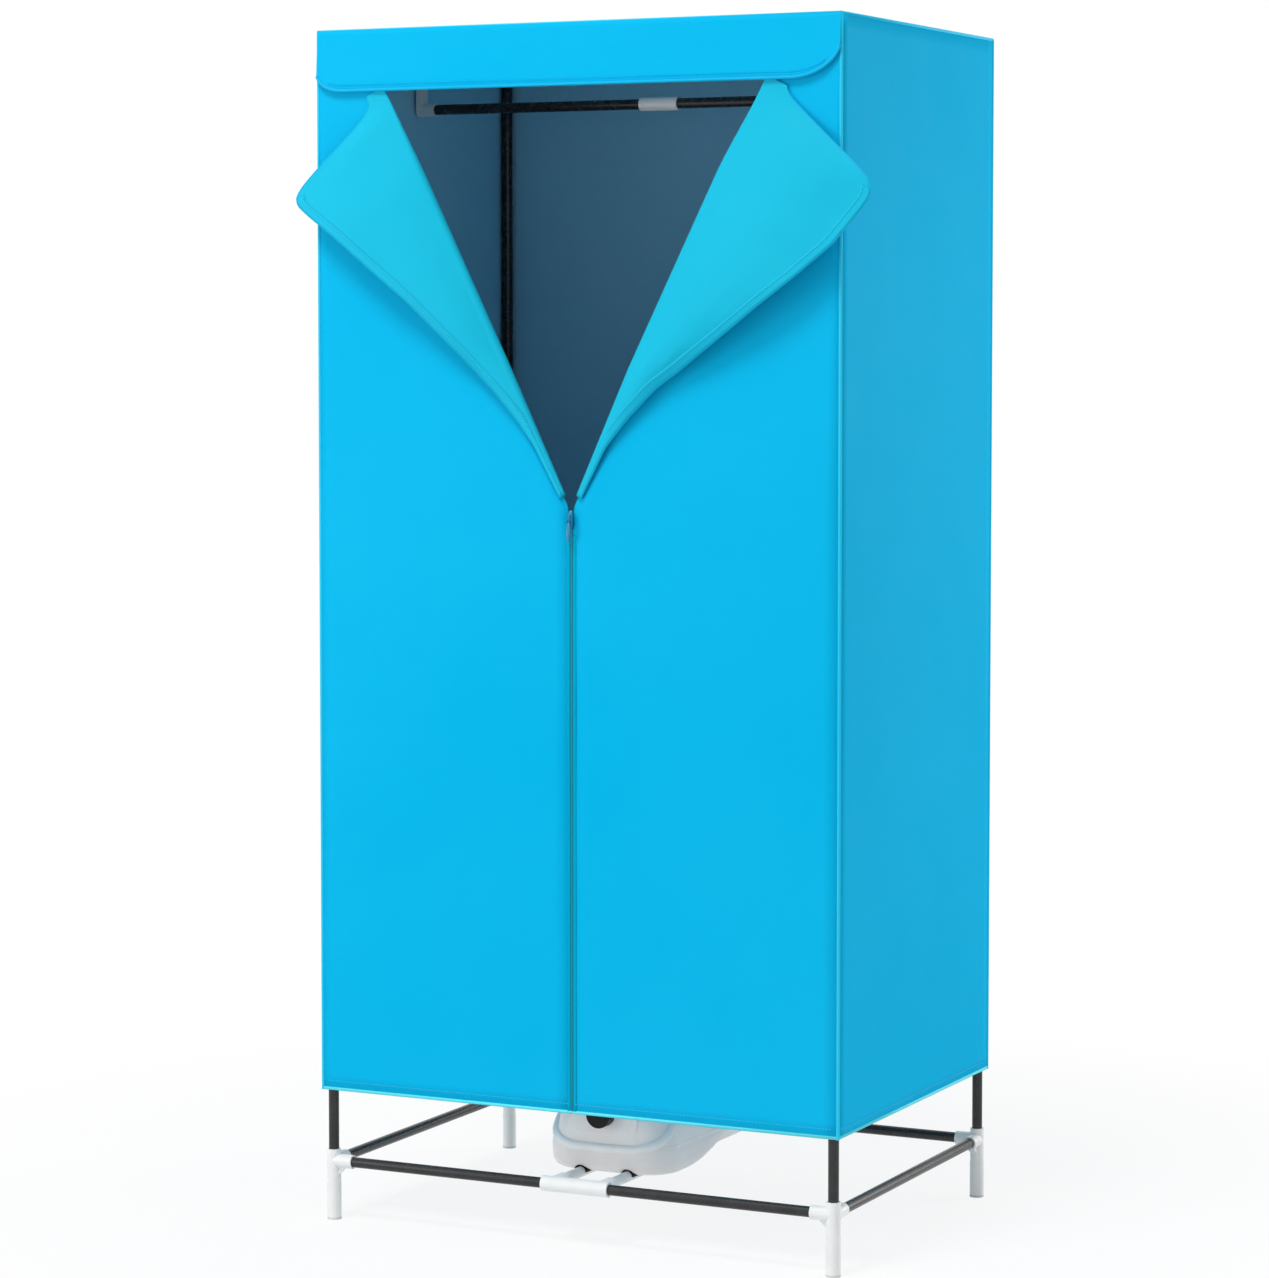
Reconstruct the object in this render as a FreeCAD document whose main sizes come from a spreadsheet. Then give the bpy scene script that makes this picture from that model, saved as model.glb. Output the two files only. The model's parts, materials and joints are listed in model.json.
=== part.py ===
"""Fabric drying cabinet on a plugged tube frame, with a warm-air unit under its floor.

Millimetres. +Z is up, the door side faces -Y and +X is to the right of somebody in front of it.
The origin lies on the floor, under the middle of the whole object's box.
"""
import FreeCAD
import Part

import math
import os

import Sketcher

V = FreeCAD.Vector
UP = V(0, 0, 1)
X_AXIS = V(1, 0, 0)
Y_AXIS = V(0, 1, 0)

SIZES = [
    ("cover_width", 700.0),
    ("cover_depth", 490.0),
    ("cover_height", 1480.0),
    ("hem_level", 165.0),
    ("cloth", 1.2),
    ("seat_gap", 0.3),
    ("tube_dia", 13.0),
    ("tube_wall", 1.0),
    ("leg_dia", 18.0),
    ("bar_level", 74.0),
    ("pad_thick", 3.0),
    ("pad_plug", 6.0),
    ("socket_wall", 2.0),
    ("socket_clear", 0.15),
    ("socket_reach", 28.0),
    ("socket_stop", 11.0),
    ("post_reach", 15.0),
    ("post_sink", 8.0),
    ("web_thick", 6.0),
    ("middle_half", 45.0),
    ("middle_swell", 0.8),
    ("carrier_half", 32.0),
    ("rail_drop", 75.0),
    ("rail_middle_half", 26.0),
    ("bracket_thick", 8.0),
    ("fold_foot", 896.0),
    ("fold_spread", 294.0),
    ("door_gap", 4.0),
    ("lapel_start", 24.0),
    ("lapel_head_gap", 21.0),
    ("lapel_reach", 180.0),
    ("lapel_corner_drop", 34.0),
    ("lapel_corner_round", 22.0),
    ("lapel_waist_at", 0.53),
    ("lapel_waist", 72.0),
    ("lapel_foot", 1.6),
    ("lapel_stand", 20.0),
    ("lapel_roll", 8.0),
    ("bead_radius", 0.9),
    ("header_drop", 75.0),
    ("header_belly", 4.0),
    ("header_round", 28.0),
    ("header_bead", 0.6),
    ("chain_width", 3.4),
    ("chain_proud", 0.6),
    ("slider_width", 9.0),
    ("slider_length", 22.0),
    ("slider_thick", 5.0),
    ("pull_width", 5.0),
    ("pull_length", 26.0),
    ("pull_thick", 1.6),
    ("pull_pin", 0.7),
    ("ear_thick", 1.2),
    ("ear_tall", 4.0),
    ("floor_level", 190.0),
    ("heater_width", 173.0),
    ("heater_depth", 240.0),
    ("heater_front", 82.0),
    ("heater_split", 112.0),
    ("heater_top_level", 178.0),
    ("heater_taper", 12.0),
    ("heater_round", 45.0),
    ("heater_wall", 2.5),
    ("shell_step", 2.5),
    ("keel_width", 150.0),
    ("keel_depth", 150.0),
    ("keel_front", 8.0),
    ("foot_thick", 2.0),
    ("foot_length", 22.0),
    ("foot_proud", 4.0),
    ("collar_dia", 104.0),
    ("collar_wall", 2.0),
    ("collar_rise", 18.0),
    ("grille_thick", 3.0),
    ("grille_slots", 9.0),
    ("grille_bar", 3.0),
    ("panel_width", 92.0),
    ("panel_height", 50.0),
    ("panel_level", 146.0),
    ("panel_thick", 1.5),
    ("panel_lip", 4.0),
    ("knob_dia", 32.0),
    ("knob_height", 15.0),
    ("knob_level", 150.0),
    ("shaft_dia", 6.0),
    ("shaft_grip", 9.0),
    ("run_clear", 0.08),
    ("timer_side", 30.0),
    ("timer_depth", 24.0),
    ("motor_dia", 38.0),
    ("motor_height", 38.0),
    ("fan_dia", 92.0),
    ("fan_height", 16.0),
    ("fan_hub", 24.0),
    ("fan_blades", 7.0),
    ("fan_lift", 3.0),
    ("element_side", 84.0),
    ("element_height", 14.0),
    ("inlet_width", 28.0),
    ("inlet_height", 20.0),
    ("inlet_depth", 22.0),
]

CORNERS = {
    "front_left": (-1, -1),
    "front_right": (1, -1),
    "rear_left": (-1, 1),
    "rear_right": (1, 1),
}

doc = FreeCAD.newDocument("DryingCabinet")
sheet = doc.addObject("Spreadsheet::Sheet", "Sizes")
for row, (alias, value) in enumerate(SIZES, start=1):
    sheet.set(f"A{row}", alias)
    sheet.set(f"B{row}", str(value))
    sheet.setAlias(f"B{row}", alias)
doc.recompute()

nodes = []


def size(alias):
    """Value of one driving dimension."""
    return float(getattr(sheet, alias))


def cell(text):
    """Turn size names inside braces into references to the sheet."""
    return text.replace("{", "Sizes.").replace("}", "")


def keep(obj, label, place=None):
    """Name a finished sub-part and put it in its place."""
    obj.Label = label
    if place is not None:
        obj.Placement = place
    nodes.append(obj)
    return obj


def bind(obj, **rules):
    """Bind properties to expressions over the sheet."""
    for name, rule in rules.items():
        obj.setExpression(name, cell(rule))


def turn_to(direction):
    """Rotation that carries +Z onto a direction."""
    return FreeCAD.Rotation(UP, V(*direction))


# ---------------------------------------------------------------- places worked out from the sheet

SOCKET_RADIUS = size("tube_dia") / 2 + size("socket_clear") + size("socket_wall")
INSET = size("cloth") + size("seat_gap") + SOCKET_RADIUS
POST_X = size("cover_width") / 2 - INSET
POST_Y = size("cover_depth") / 2 - INSET
MIDDLE_Y = size("lapel_stand") / 2
FRONT_Y = MIDDLE_Y - size("cover_depth") / 2
BACK_Y = MIDDLE_Y + size("cover_depth") / 2
TOP_LEVEL = size("cover_height") - size("cloth") - size("seat_gap") - SOCKET_RADIUS
RAIL_LEVEL = TOP_LEVEL - size("rail_drop")
HEADER_LOW = size("cover_height") - size("header_drop")
HEATER_Y = FRONT_Y + size("heater_front") + size("heater_depth") / 2
HEATER_FACE = HEATER_Y - size("heater_depth") / 2
HEATER_REAR = HEATER_FACE + size("heater_depth") - size("shell_step")
PANEL_FACE = HEATER_FACE + size("shell_step")
HEATER_FLOOR = size("bar_level")


def post_at(signs):
    """Middle line of a corner post."""
    return V(signs[0] * POST_X, MIDDLE_Y + signs[1] * POST_Y, 0)


# ---------------------------------------------------------------- building blocks


def origin_plane(body, role):
    """One of the body's own origin planes."""
    return next(f for f in body.Origin.OriginFeatures if f.Role == role)


def new_body(name):
    """Empty body with a sketch on its XY plane."""
    body = doc.addObject("PartDesign::Body", name + "_body")
    sketch = body.newObject("Sketcher::SketchObject", name + "_sketch")
    sketch.AttachmentSupport = (origin_plane(body, "XY_Plane"), [""])
    sketch.MapMode = "FlatFace"
    return body, sketch


def ring(sketch):
    """Outer and inner circle of a tube about the sketch's origin."""
    outer = size("tube_dia")
    rules = [(outer, "{tube_dia}"), (outer - 2 * size("tube_wall"), "{tube_dia} - 2 * {tube_wall}")]
    for across, rule in rules:
        circle = sketch.addGeometry(Part.Circle(V(0, 0, 0), UP, across / 2))
        sketch.addConstraint(Sketcher.Constraint("Coincident", circle, 3, -1, 1))
        index = sketch.addConstraint(Sketcher.Constraint("Diameter", circle, across))
        sketch.setExpression(f"Constraints[{index}]", cell(rule))


def outline(sketch, corners):
    """Closed polygon whose corners are expressions over the sheet."""
    points = []
    for rules in corners:
        values = [sketch.evalExpression(cell(rule)) for rule in rules]
        points.append(V(*[float(getattr(v, "Value", v)) for v in values], 0))
    count = len(points)
    for i in range(count):
        sketch.addGeometry(Part.LineSegment(points[i], points[(i + 1) % count]))
    for i in range(count):
        sketch.addConstraint(Sketcher.Constraint("Coincident", i, 2, (i + 1) % count, 1))
    for i, rules in enumerate(corners):
        for kind, value, rule in zip(("DistanceX", "DistanceY"), (points[i].x, points[i].y), rules):
            index = sketch.addConstraint(Sketcher.Constraint(kind, -1, 1, i, 1, value))
            sketch.setExpression(f"Constraints[{index}]", cell(rule))


def pad(body, sketch, rule):
    """Pad a sketch by a length from the sheet."""
    feature = body.newObject("PartDesign::Pad", sketch.Name.replace("sketch", "pad"))
    feature.Profile = sketch
    feature.setExpression("Length", cell(rule))
    body.Tip = feature
    return feature


def tube(label, start, direction, length_rule):
    """Round frame tube from a start point along a direction."""
    body, sketch = new_body(label)
    ring(sketch)
    pad(body, sketch, length_rule)
    return keep(body, label, FreeCAD.Placement(start, turn_to(direction)))


def plate(label, corners, thick_rule, place):
    """Flat panel with a polygon outline."""
    body, sketch = new_body(label)
    outline(sketch, corners)
    pad(body, sketch, thick_rule)
    return keep(body, label, place)


def cylinder(name, place, radius_rule, height_rule):
    """Part cylinder with bound sizes."""
    obj = doc.addObject("Part::Cylinder", name)
    bind(obj, Radius=radius_rule, Height=height_rule)
    obj.Placement = place
    return obj


def block(name, corner, length_rule, width_rule, height_rule):
    """Part box with bound sizes; the corner is its lowest one."""
    obj = doc.addObject("Part::Box", name)
    bind(obj, Length=length_rule, Width=width_rule, Height=height_rule)
    obj.Placement = FreeCAD.Placement(corner, FreeCAD.Rotation())
    return obj


def fuse(name, shapes):
    """Union of several objects."""
    obj = doc.addObject("Part::MultiFuse", name)
    obj.Shapes = shapes
    return obj


def cut(name, base, tools):
    """Base without the tools."""
    obj = doc.addObject("Part::Cut", name)
    obj.Base = base
    obj.Tool = tools[0] if len(tools) == 1 else fuse(name + "_tools", tools)
    return obj


def triangle(name, points, direction, thick_rule):
    """Thin web through three points, centred on their plane."""
    wire = doc.addObject("Part::Polygon", name + "_wire")
    wire.Nodes = points
    wire.Close = True
    web = doc.addObject("Part::Extrusion", name)
    web.Base = wire
    web.DirMode = "Custom"
    web.Dir = direction
    web.Solid = True
    web.Symmetric = True
    web.setExpression("LengthFwd", cell(thick_rule))
    return web


def ball(name, centre, radius_rule):
    """Rounded middle of a connector."""
    obj = doc.addObject("Part::Sphere", name)
    obj.setExpression("Radius", cell(radius_rule))
    obj.Placement = FreeCAD.Placement(centre, FreeCAD.Rotation())
    return obj


RADIUS_RULE = "{tube_dia} / 2 + {socket_clear} + {socket_wall}"
BORE_RULE = "{tube_dia} / 2 + {socket_clear}"
BORE_DEPTH_RULE = "{socket_reach} - {socket_stop} + 1"


def socket_arm(name, centre, direction):
    """Outer arm of one socket and the bore that a tube is pushed into."""
    turn = turn_to(direction)
    arm = cylinder(name + "_arm", FreeCAD.Placement(centre, turn), RADIUS_RULE, "{socket_reach}")
    seat = centre + V(*direction) * size("socket_stop")
    bore = cylinder(name + "_bore", FreeCAD.Placement(seat, turn), BORE_RULE, BORE_DEPTH_RULE)
    return arm, bore


def connector(label, centre, directions, extras=(), wells=()):
    """Moulded connector: arms around a ball, bored for the tubes, with added solids and bores."""
    arms = [ball(label + "_ball", centre, RADIUS_RULE)] + list(extras)
    bores = list(wells)
    for number, direction in enumerate(directions):
        arm, bore = socket_arm(f"{label}_{number}", centre, direction)
        arms.append(arm)
        bores.append(bore)
    return keep(cut(label + "_cut", fuse(label + "_arms", arms), bores), label)


# ---------------------------------------------------------------- frame


def legs():
    """Four legs that plug into the lower corners, and the pads under them."""
    pads = []
    shank = "{bar_level} - {socket_reach} - {pad_thick}"
    for where, signs in CORNERS.items():
        foot = post_at(signs) + V(0, 0, size("pad_thick"))
        here = FreeCAD.Placement(foot, FreeCAD.Rotation())
        stem = cylinder(f"leg_{where}_stem", here, "{leg_dia} / 2", shank)
        spigot = cylinder(
            f"leg_{where}_spigot", here, "{tube_dia} / 2",
            "{bar_level} - {socket_stop} - {pad_thick} - {seat_gap}",
        )
        hole = cylinder(
            f"leg_{where}_hole", here, "{leg_dia} / 4 + {socket_clear}", "{pad_plug} + {seat_gap}",
        )
        keep(cut(f"leg_{where}_cut", fuse(f"leg_{where}_all", [stem, spigot]), [hole]), "leg_" + where)
        floor = FreeCAD.Placement(post_at(signs), FreeCAD.Rotation())
        disc = cylinder(f"pad_{where}_disc", floor, "{leg_dia} / 2", "{pad_thick}")
        plug = cylinder(f"pad_{where}_plug", floor, "{leg_dia} / 4", "{pad_thick} + {pad_plug}")
        pads.append(fuse(f"pad_{where}", [disc, plug]))
    group = doc.addObject("Part::Compound", "pads")
    group.Links = pads
    keep(group, "foot_pads")


def base_corners():
    """Lower corner connectors with webs between the arms and the leg."""
    reach = size("socket_reach") - size("web_thick") / 2
    for where, (sx, sy) in CORNERS.items():
        centre = post_at((sx, sy)) + V(0, 0, size("bar_level"))
        webs = []
        for number, (arm, across) in enumerate([(V(-sx, 0, 0), Y_AXIS), (V(0, -sy, 0), X_AXIS)]):
            points = [centre, centre + arm * reach, centre - UP * reach]
            webs.append(triangle(f"web_{where}_{number}", points, across, "{web_thick}"))
        upward = FreeCAD.Placement(centre, FreeCAD.Rotation())
        collar = cylinder(f"collar_{where}", upward, RADIUS_RULE, "{post_reach}")
        bottom = FreeCAD.Placement(centre - UP * size("post_sink"), FreeCAD.Rotation())
        well = cylinder(f"well_{where}", bottom, BORE_RULE, "{post_sink} + {post_reach} + 1")
        directions = [(-sx, 0, 0), (0, -sy, 0), (0, 0, -1)]
        connector("base_corner_" + where, centre, directions, webs + [collar], [well])


def top_corners():
    """Upper corner connectors under the roof."""
    for where, (sx, sy) in CORNERS.items():
        centre = post_at((sx, sy)) + V(0, 0, TOP_LEVEL)
        connector("top_corner_" + where, centre, [(-sx, 0, 0), (0, -sy, 0), (0, 0, -1)])


def uprights():
    """Corner posts from the lower to the upper connectors."""
    top = "{cover_height} - {cloth} - {seat_gap} - (" + RADIUS_RULE + ")"
    for where, signs in CORNERS.items():
        start = post_at(signs) + V(0, 0, size("bar_level") - size("post_sink") + size("seat_gap"))
        length = top + " - {bar_level} + {post_sink} - {socket_stop} - 2 * {seat_gap}"
        tube("upright_" + where, start, (0, 0, 1), length)


def post_rule(across):
    """Expression for the distance from the cabinet's middle to a post."""
    return "({" + across + "} / 2 - {cloth} - {seat_gap} - (" + RADIUS_RULE + "))"


def ring_bars():
    """Bars of the lower and the upper ring."""
    stop = size("socket_stop") + size("seat_gap")
    half = post_rule("cover_width") + " - {socket_stop} - {seat_gap}"
    deep = "2 * (" + post_rule("cover_depth") + " - {socket_stop} - {seat_gap})"
    low = size("bar_level")
    grip = "{middle_half} - ({socket_reach} - {socket_stop}) + {seat_gap}"
    for name, sy in (("front", -1), ("rear", 1)):
        y = MIDDLE_Y + sy * POST_Y
        for side, sx in (("left", -1), ("right", 1)):
            start = V(sx * (POST_X - stop), y, low)
            tube(f"base_{name}_bar_{side}", start, (-sx, 0, 0), half + " - (" + grip + ")")
        tube(f"top_{name}_bar", V(stop - POST_X, y, TOP_LEVEL), (1, 0, 0), "2 * (" + half + ")")
    for side, sx in (("left", -1), ("right", 1)):
        y = MIDDLE_Y - POST_Y + stop
        tube(f"base_side_bar_{side}", V(sx * POST_X, y, low), (0, 1, 0), deep)
        tube(f"top_side_bar_{side}", V(sx * POST_X, y, TOP_LEVEL), (0, 1, 0), deep)


def base_middles():
    """Middle connectors of the front and rear bars, which also hold the carrier tubes."""
    half = size("middle_half")
    level = V(0, 0, size("bar_level"))
    depth = "{socket_reach} - {socket_stop}"
    for name, sy in (("front", -1), ("rear", 1)):
        label = f"base_{name}_connector"
        along = FreeCAD.Placement(X_AXIS * -half, turn_to((1, 0, 0)))
        bar_rule = RADIUS_RULE + " + {middle_swell}"
        solids = [cylinder(label + "_bar", along, bar_rule, "2 * {middle_half}")]
        bores = []
        for number, sx in enumerate((-1, 1)):
            mouth = FreeCAD.Placement(X_AXIS * sx * half, turn_to((-sx, 0, 0)))
            bores.append(cylinder(f"{label}_end_{number}", mouth, BORE_RULE, depth))
            arm, bore = socket_arm(f"{label}_{number}", X_AXIS * sx * size("carrier_half"), (0, 1, 0))
            solids.append(arm)
            bores.append(bore)
        low = V(-size("carrier_half"), 0, -size("web_thick") / 2)
        web_rule = "{socket_reach} - {web_thick}"
        solids.append(block(label + "_web", low, "2 * {carrier_half}", web_rule, "{web_thick}"))
        turn = FreeCAD.Rotation(UP, 0 if sy < 0 else 180)
        place = FreeCAD.Placement(V(0, MIDDLE_Y + sy * POST_Y, 0) + level, turn)
        keep(cut(label + "_cut", fuse(label + "_all", solids), bores), label, place)


def carriers():
    """Two tubes from front to rear that lie in the channels under the warm-air unit."""
    length = "2 * (" + post_rule("cover_depth") + " - {socket_stop} - {seat_gap})"
    start = MIDDLE_Y - POST_Y + size("socket_stop") + size("seat_gap")
    for side, sx in (("left", -1), ("right", 1)):
        where = V(sx * size("carrier_half"), start, size("bar_level"))
        tube("heater_carrier_" + side, where, (0, 1, 0), length)


def rail_brackets():
    """Drop brackets: clipped on the top side bars, they hold the ends of the hanging rail."""
    thick = size("bracket_thick")
    for side, sx in (("left", -1), ("right", 1)):
        label = "rail_bracket_" + side
        x = sx * POST_X - thick / 2
        turn = turn_to((1, 0, 0))
        eyes = []
        bores = []
        for number, level in enumerate((TOP_LEVEL, RAIL_LEVEL)):
            here = FreeCAD.Placement(V(x, MIDDLE_Y, level), turn)
            eyes.append(cylinder(f"{label}_eye_{number}", here, RADIUS_RULE, "{bracket_thick}"))
        clip = V(sx * POST_X, MIDDLE_Y - size("socket_reach") / 2, TOP_LEVEL)
        along = FreeCAD.Placement(clip, turn_to((0, 1, 0)))
        eyes[0] = cylinder(label + "_clip", along, RADIUS_RULE, "{socket_reach}")
        bores.append(cylinder(label + "_clip_bore", along, BORE_RULE, "{socket_reach}"))
        cup_face = V(sx * (POST_X - thick / 2), MIDDLE_Y, RAIL_LEVEL)
        inward = FreeCAD.Placement(cup_face, turn_to((-sx, 0, 0)))
        eyes.append(cylinder(label + "_cup", inward, RADIUS_RULE, "{socket_reach} - {socket_stop}"))
        bores.append(cylinder(label + "_cup_bore", inward, BORE_RULE, "{socket_reach} - {socket_stop}"))
        stem = V(x, MIDDLE_Y - SOCKET_RADIUS, RAIL_LEVEL)
        eyes.append(
            block(
                label + "_stem", stem, "{bracket_thick}", "2 * (" + RADIUS_RULE + ")", "{rail_drop}",
            )
        )
        keep(cut(label + "_cut", fuse(label + "_all", eyes), bores), label)


def hanging_rail():
    """Two rail tubes and the connector between them."""
    outer = POST_X - size("bracket_thick") / 2 - size("seat_gap")
    for side, sx in (("left", -1), ("right", 1)):
        start = V(sx * outer, MIDDLE_Y, RAIL_LEVEL)
        length = (
            post_rule("cover_width") + " - {bracket_thick} / 2 - 2 * {seat_gap} - {rail_middle_half}"
            " + ({socket_reach} - {socket_stop})"
        )
        tube("hanging_rail_" + side, start, (-sx, 0, 0), length)
    label = "rail_connector"
    half = size("rail_middle_half")
    along = FreeCAD.Placement(V(-half, MIDDLE_Y, RAIL_LEVEL), turn_to((1, 0, 0)))
    sleeve = cylinder(label + "_sleeve", along, RADIUS_RULE, "2 * {rail_middle_half}")
    bores = []
    for number, sx in enumerate((-1, 1)):
        mouth = FreeCAD.Placement(V(sx * half, MIDDLE_Y, RAIL_LEVEL), turn_to((-sx, 0, 0)))
        bores.append(cylinder(f"{label}_end_{number}", mouth, BORE_RULE, "{socket_reach} - {socket_stop}"))
    keep(cut(label + "_cut", sleeve, bores), label)


# ---------------------------------------------------------------- cloth cover

# Panels are drawn in a plane whose first axis runs along X or Y and whose second axis is Z.
FACE_FRONT = FreeCAD.Rotation(X_AXIS, UP, Y_AXIS * -1, "XYZ")
FACE_SIDE = FreeCAD.Rotation(Y_AXIS, UP, X_AXIS, "XYZ")


def cover_panels():
    """Roof, back, sides, floor and the two halves of the front."""
    wide = "{cover_width} / 2"
    thin = "{cover_width} / 2 - {cloth}"
    deep = "{cover_depth} / 2"
    low = "{hem_level}"
    high = "{cover_height} - {cloth}"
    roof = [(f"-{wide}", f"-{deep}"), (wide, f"-{deep}"), (wide, deep), (f"-{wide}", deep)]
    top = FreeCAD.Placement(V(0, MIDDLE_Y, size("cover_height") - size("cloth")), FreeCAD.Rotation())
    plate("cover_roof", roof, "{cloth}", top)
    back = [(f"-({thin})", low), (thin, low), (thin, high), (f"-({thin})", high)]
    plate("cover_back", back, "{cloth}", FreeCAD.Placement(V(0, BACK_Y, 0), FACE_FRONT))
    flank = [(f"-{deep}", low), (deep, low), (deep, high), (f"-{deep}", high)]
    for side, x in (("left", -size("cover_width") / 2), ("right", size("cover_width") / 2 - size("cloth"))):
        plate("cover_side_" + side, flank, "{cloth}", FreeCAD.Placement(V(x, MIDDLE_Y, 0), FACE_SIDE))
    for side, sign in (("left", "-"), ("right", "")):
        front = [
            (f"{sign}({thin})", low),
            (f"{sign}({{door_gap}} / 2)", low),
            (f"{sign}({{door_gap}} / 2)", "{fold_foot}"),
            (f"{sign}{{fold_spread}}", high),
            (f"{sign}({thin})", high),
        ]
        place = FreeCAD.Placement(V(0, FRONT_Y + size("cloth"), 0), FACE_FRONT)
        plate("cover_front_" + side, front, "{cloth}", place)


def cover_floor():
    """Floor cloth with the hole for the outlet collar."""
    corner = V(
        size("cloth") - size("cover_width") / 2, FRONT_Y + size("cloth"), size("floor_level"),
    )
    cloth = block(
        "floor_cloth", corner, "{cover_width} - 2 * {cloth}", "{cover_depth} - 2 * {cloth}", "{cloth}",
    )
    cuts = [
        cylinder(
            "floor_hole", FreeCAD.Placement(V(0, HEATER_Y, size("floor_level")), FreeCAD.Rotation()),
            "{collar_dia} / 2 + {seat_gap}", "{cloth}",
        )
    ]
    for where, signs in CORNERS.items():
        notch = FreeCAD.Placement(post_at(signs) + V(0, 0, size("floor_level")), FreeCAD.Rotation())
        cuts.append(cylinder("floor_notch_" + where, notch, "{tube_dia} / 2 + {seat_gap}", "{cloth}"))
    keep(cut("floor_cut", cloth, cuts), "cover_floor")


# ---------------------------------------------------------------- folding pieces of the door

FOLD_RISE = size("cover_height") - size("cloth") - size("fold_foot")
FOLD_ANGLE = math.atan2(size("fold_spread") - size("door_gap") / 2, FOLD_RISE)
LAPEL_LENGTH = (HEADER_LOW - size("lapel_head_gap") - size("fold_foot")) / math.cos(FOLD_ANGLE)


def lapel_frame(sx):
    """Point on the panel edge at the foot of the fold, its upward direction and its outward one."""
    foot = V(sx * size("door_gap") / 2, FRONT_Y, size("fold_foot"))
    along = V(sx * math.sin(FOLD_ANGLE), 0, math.cos(FOLD_ANGLE))
    outward = V(sx * math.cos(FOLD_ANGLE), 0, -math.sin(FOLD_ANGLE))
    axis_foot = foot - outward * (size("bead_radius") + size("seat_gap")) + Y_AXIS * size("cloth") / 2
    return axis_foot, along, outward


def rounded_corner(before, corner, after, radius):
    """Start, middle and end of the arc that rounds a corner between two straight stretches."""
    back = (before - corner).normalize()
    ahead = (after - corner).normalize()
    half = back.getAngle(ahead) / 2
    run = radius / math.tan(half)
    middle = (back + ahead).normalize() * (radius / math.sin(half) - radius)
    return corner + back * run, corner + middle, corner + ahead * run


def lapel_edge(sx):
    """Outline of a lapel seen from the front: rolled fold, top edge, round corner, curved zip edge."""
    foot, along, outward = lapel_frame(sx)

    def at(station, width):
        return foot + along * station + outward * width

    start = size("lapel_start")
    length = LAPEL_LENGTH
    reach = size("lapel_reach")
    inside = -size("lapel_roll")
    low = at(start, inside)
    high = at(length, inside)
    ledge = at(length, 0)
    waist = at(length * size("lapel_waist_at"), size("lapel_waist"))
    end = at(start, size("lapel_foot"))
    corner = at(length - size("lapel_corner_drop"), reach)
    top_turn, tip, low_turn = rounded_corner(ledge, corner, waist, size("lapel_corner_round"))
    edges = [
        Part.LineSegment(low, high).toShape(),
        Part.LineSegment(high, ledge).toShape(),
        Part.LineSegment(ledge, top_turn).toShape(),
        Part.Arc(top_turn, tip, low_turn).toShape(),
        Part.Arc(low_turn, waist, end).toShape(),
        Part.LineSegment(end, low).toShape(),
    ]
    return Part.Wire(edges)


def lapel(side, sx):
    """Turned-back door corner: a bead in the fold, a soft roll and a leaf that stands off the front."""
    foot, along, outward = lapel_frame(sx)
    out = Y_AXIS * -1
    thick = size("cloth")
    roll = size("lapel_roll")
    reach = size("lapel_reach")
    stand = size("lapel_stand") + thick / 2
    start = foot + along * size("lapel_start")
    length = LAPEL_LENGTH - size("lapel_start")

    def at(width, rise):
        return start + outward * width + out * rise

    # The roll is a half turn away from the front panel; the leaf rises from it in one gentle arc.
    half = thick / 2
    outer = Part.Arc(at(0, -half), at(-roll / 2 - half, roll / 2), at(0, roll + half))
    inner = Part.Arc(at(0, roll - half), at(-roll / 2 + half, roll / 2), at(0, half))
    far = reach + roll
    crown = (far * 0.5, stand * 0.72)
    upper = Part.Arc(at(0, roll + half), at(crown[0], crown[1] + half), at(far, stand + half))
    lower = Part.Arc(at(far, stand - half), at(crown[0], crown[1] - half), at(0, roll - half))
    edges = [
        outer.toShape(),
        upper.toShape(),
        Part.LineSegment(at(far, stand + half), at(far, stand - half)).toShape(),
        lower.toShape(),
        inner.toShape(),
        Part.LineSegment(at(0, half), at(0, -half)).toShape(),
    ]
    leaf = Part.Face(Part.Wire(edges)).extrude(along * length)
    bead = Part.makeCylinder(size("bead_radius"), length, start, along)
    outline_face = Part.Face(lapel_edge(sx))
    window = outline_face.copy()
    window.translate(Y_AXIS * size("cloth") * 2)
    window = window.extrude(out * (size("lapel_stand") + size("cloth") * 2.5))
    shape = leaf.fuse(bead).common(window).removeSplitter()
    obj = doc.addObject("Part::Feature", "lapel_" + side)
    obj.Shape = shape.Solids[0]
    keep(obj, "lapel_" + side)


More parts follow.
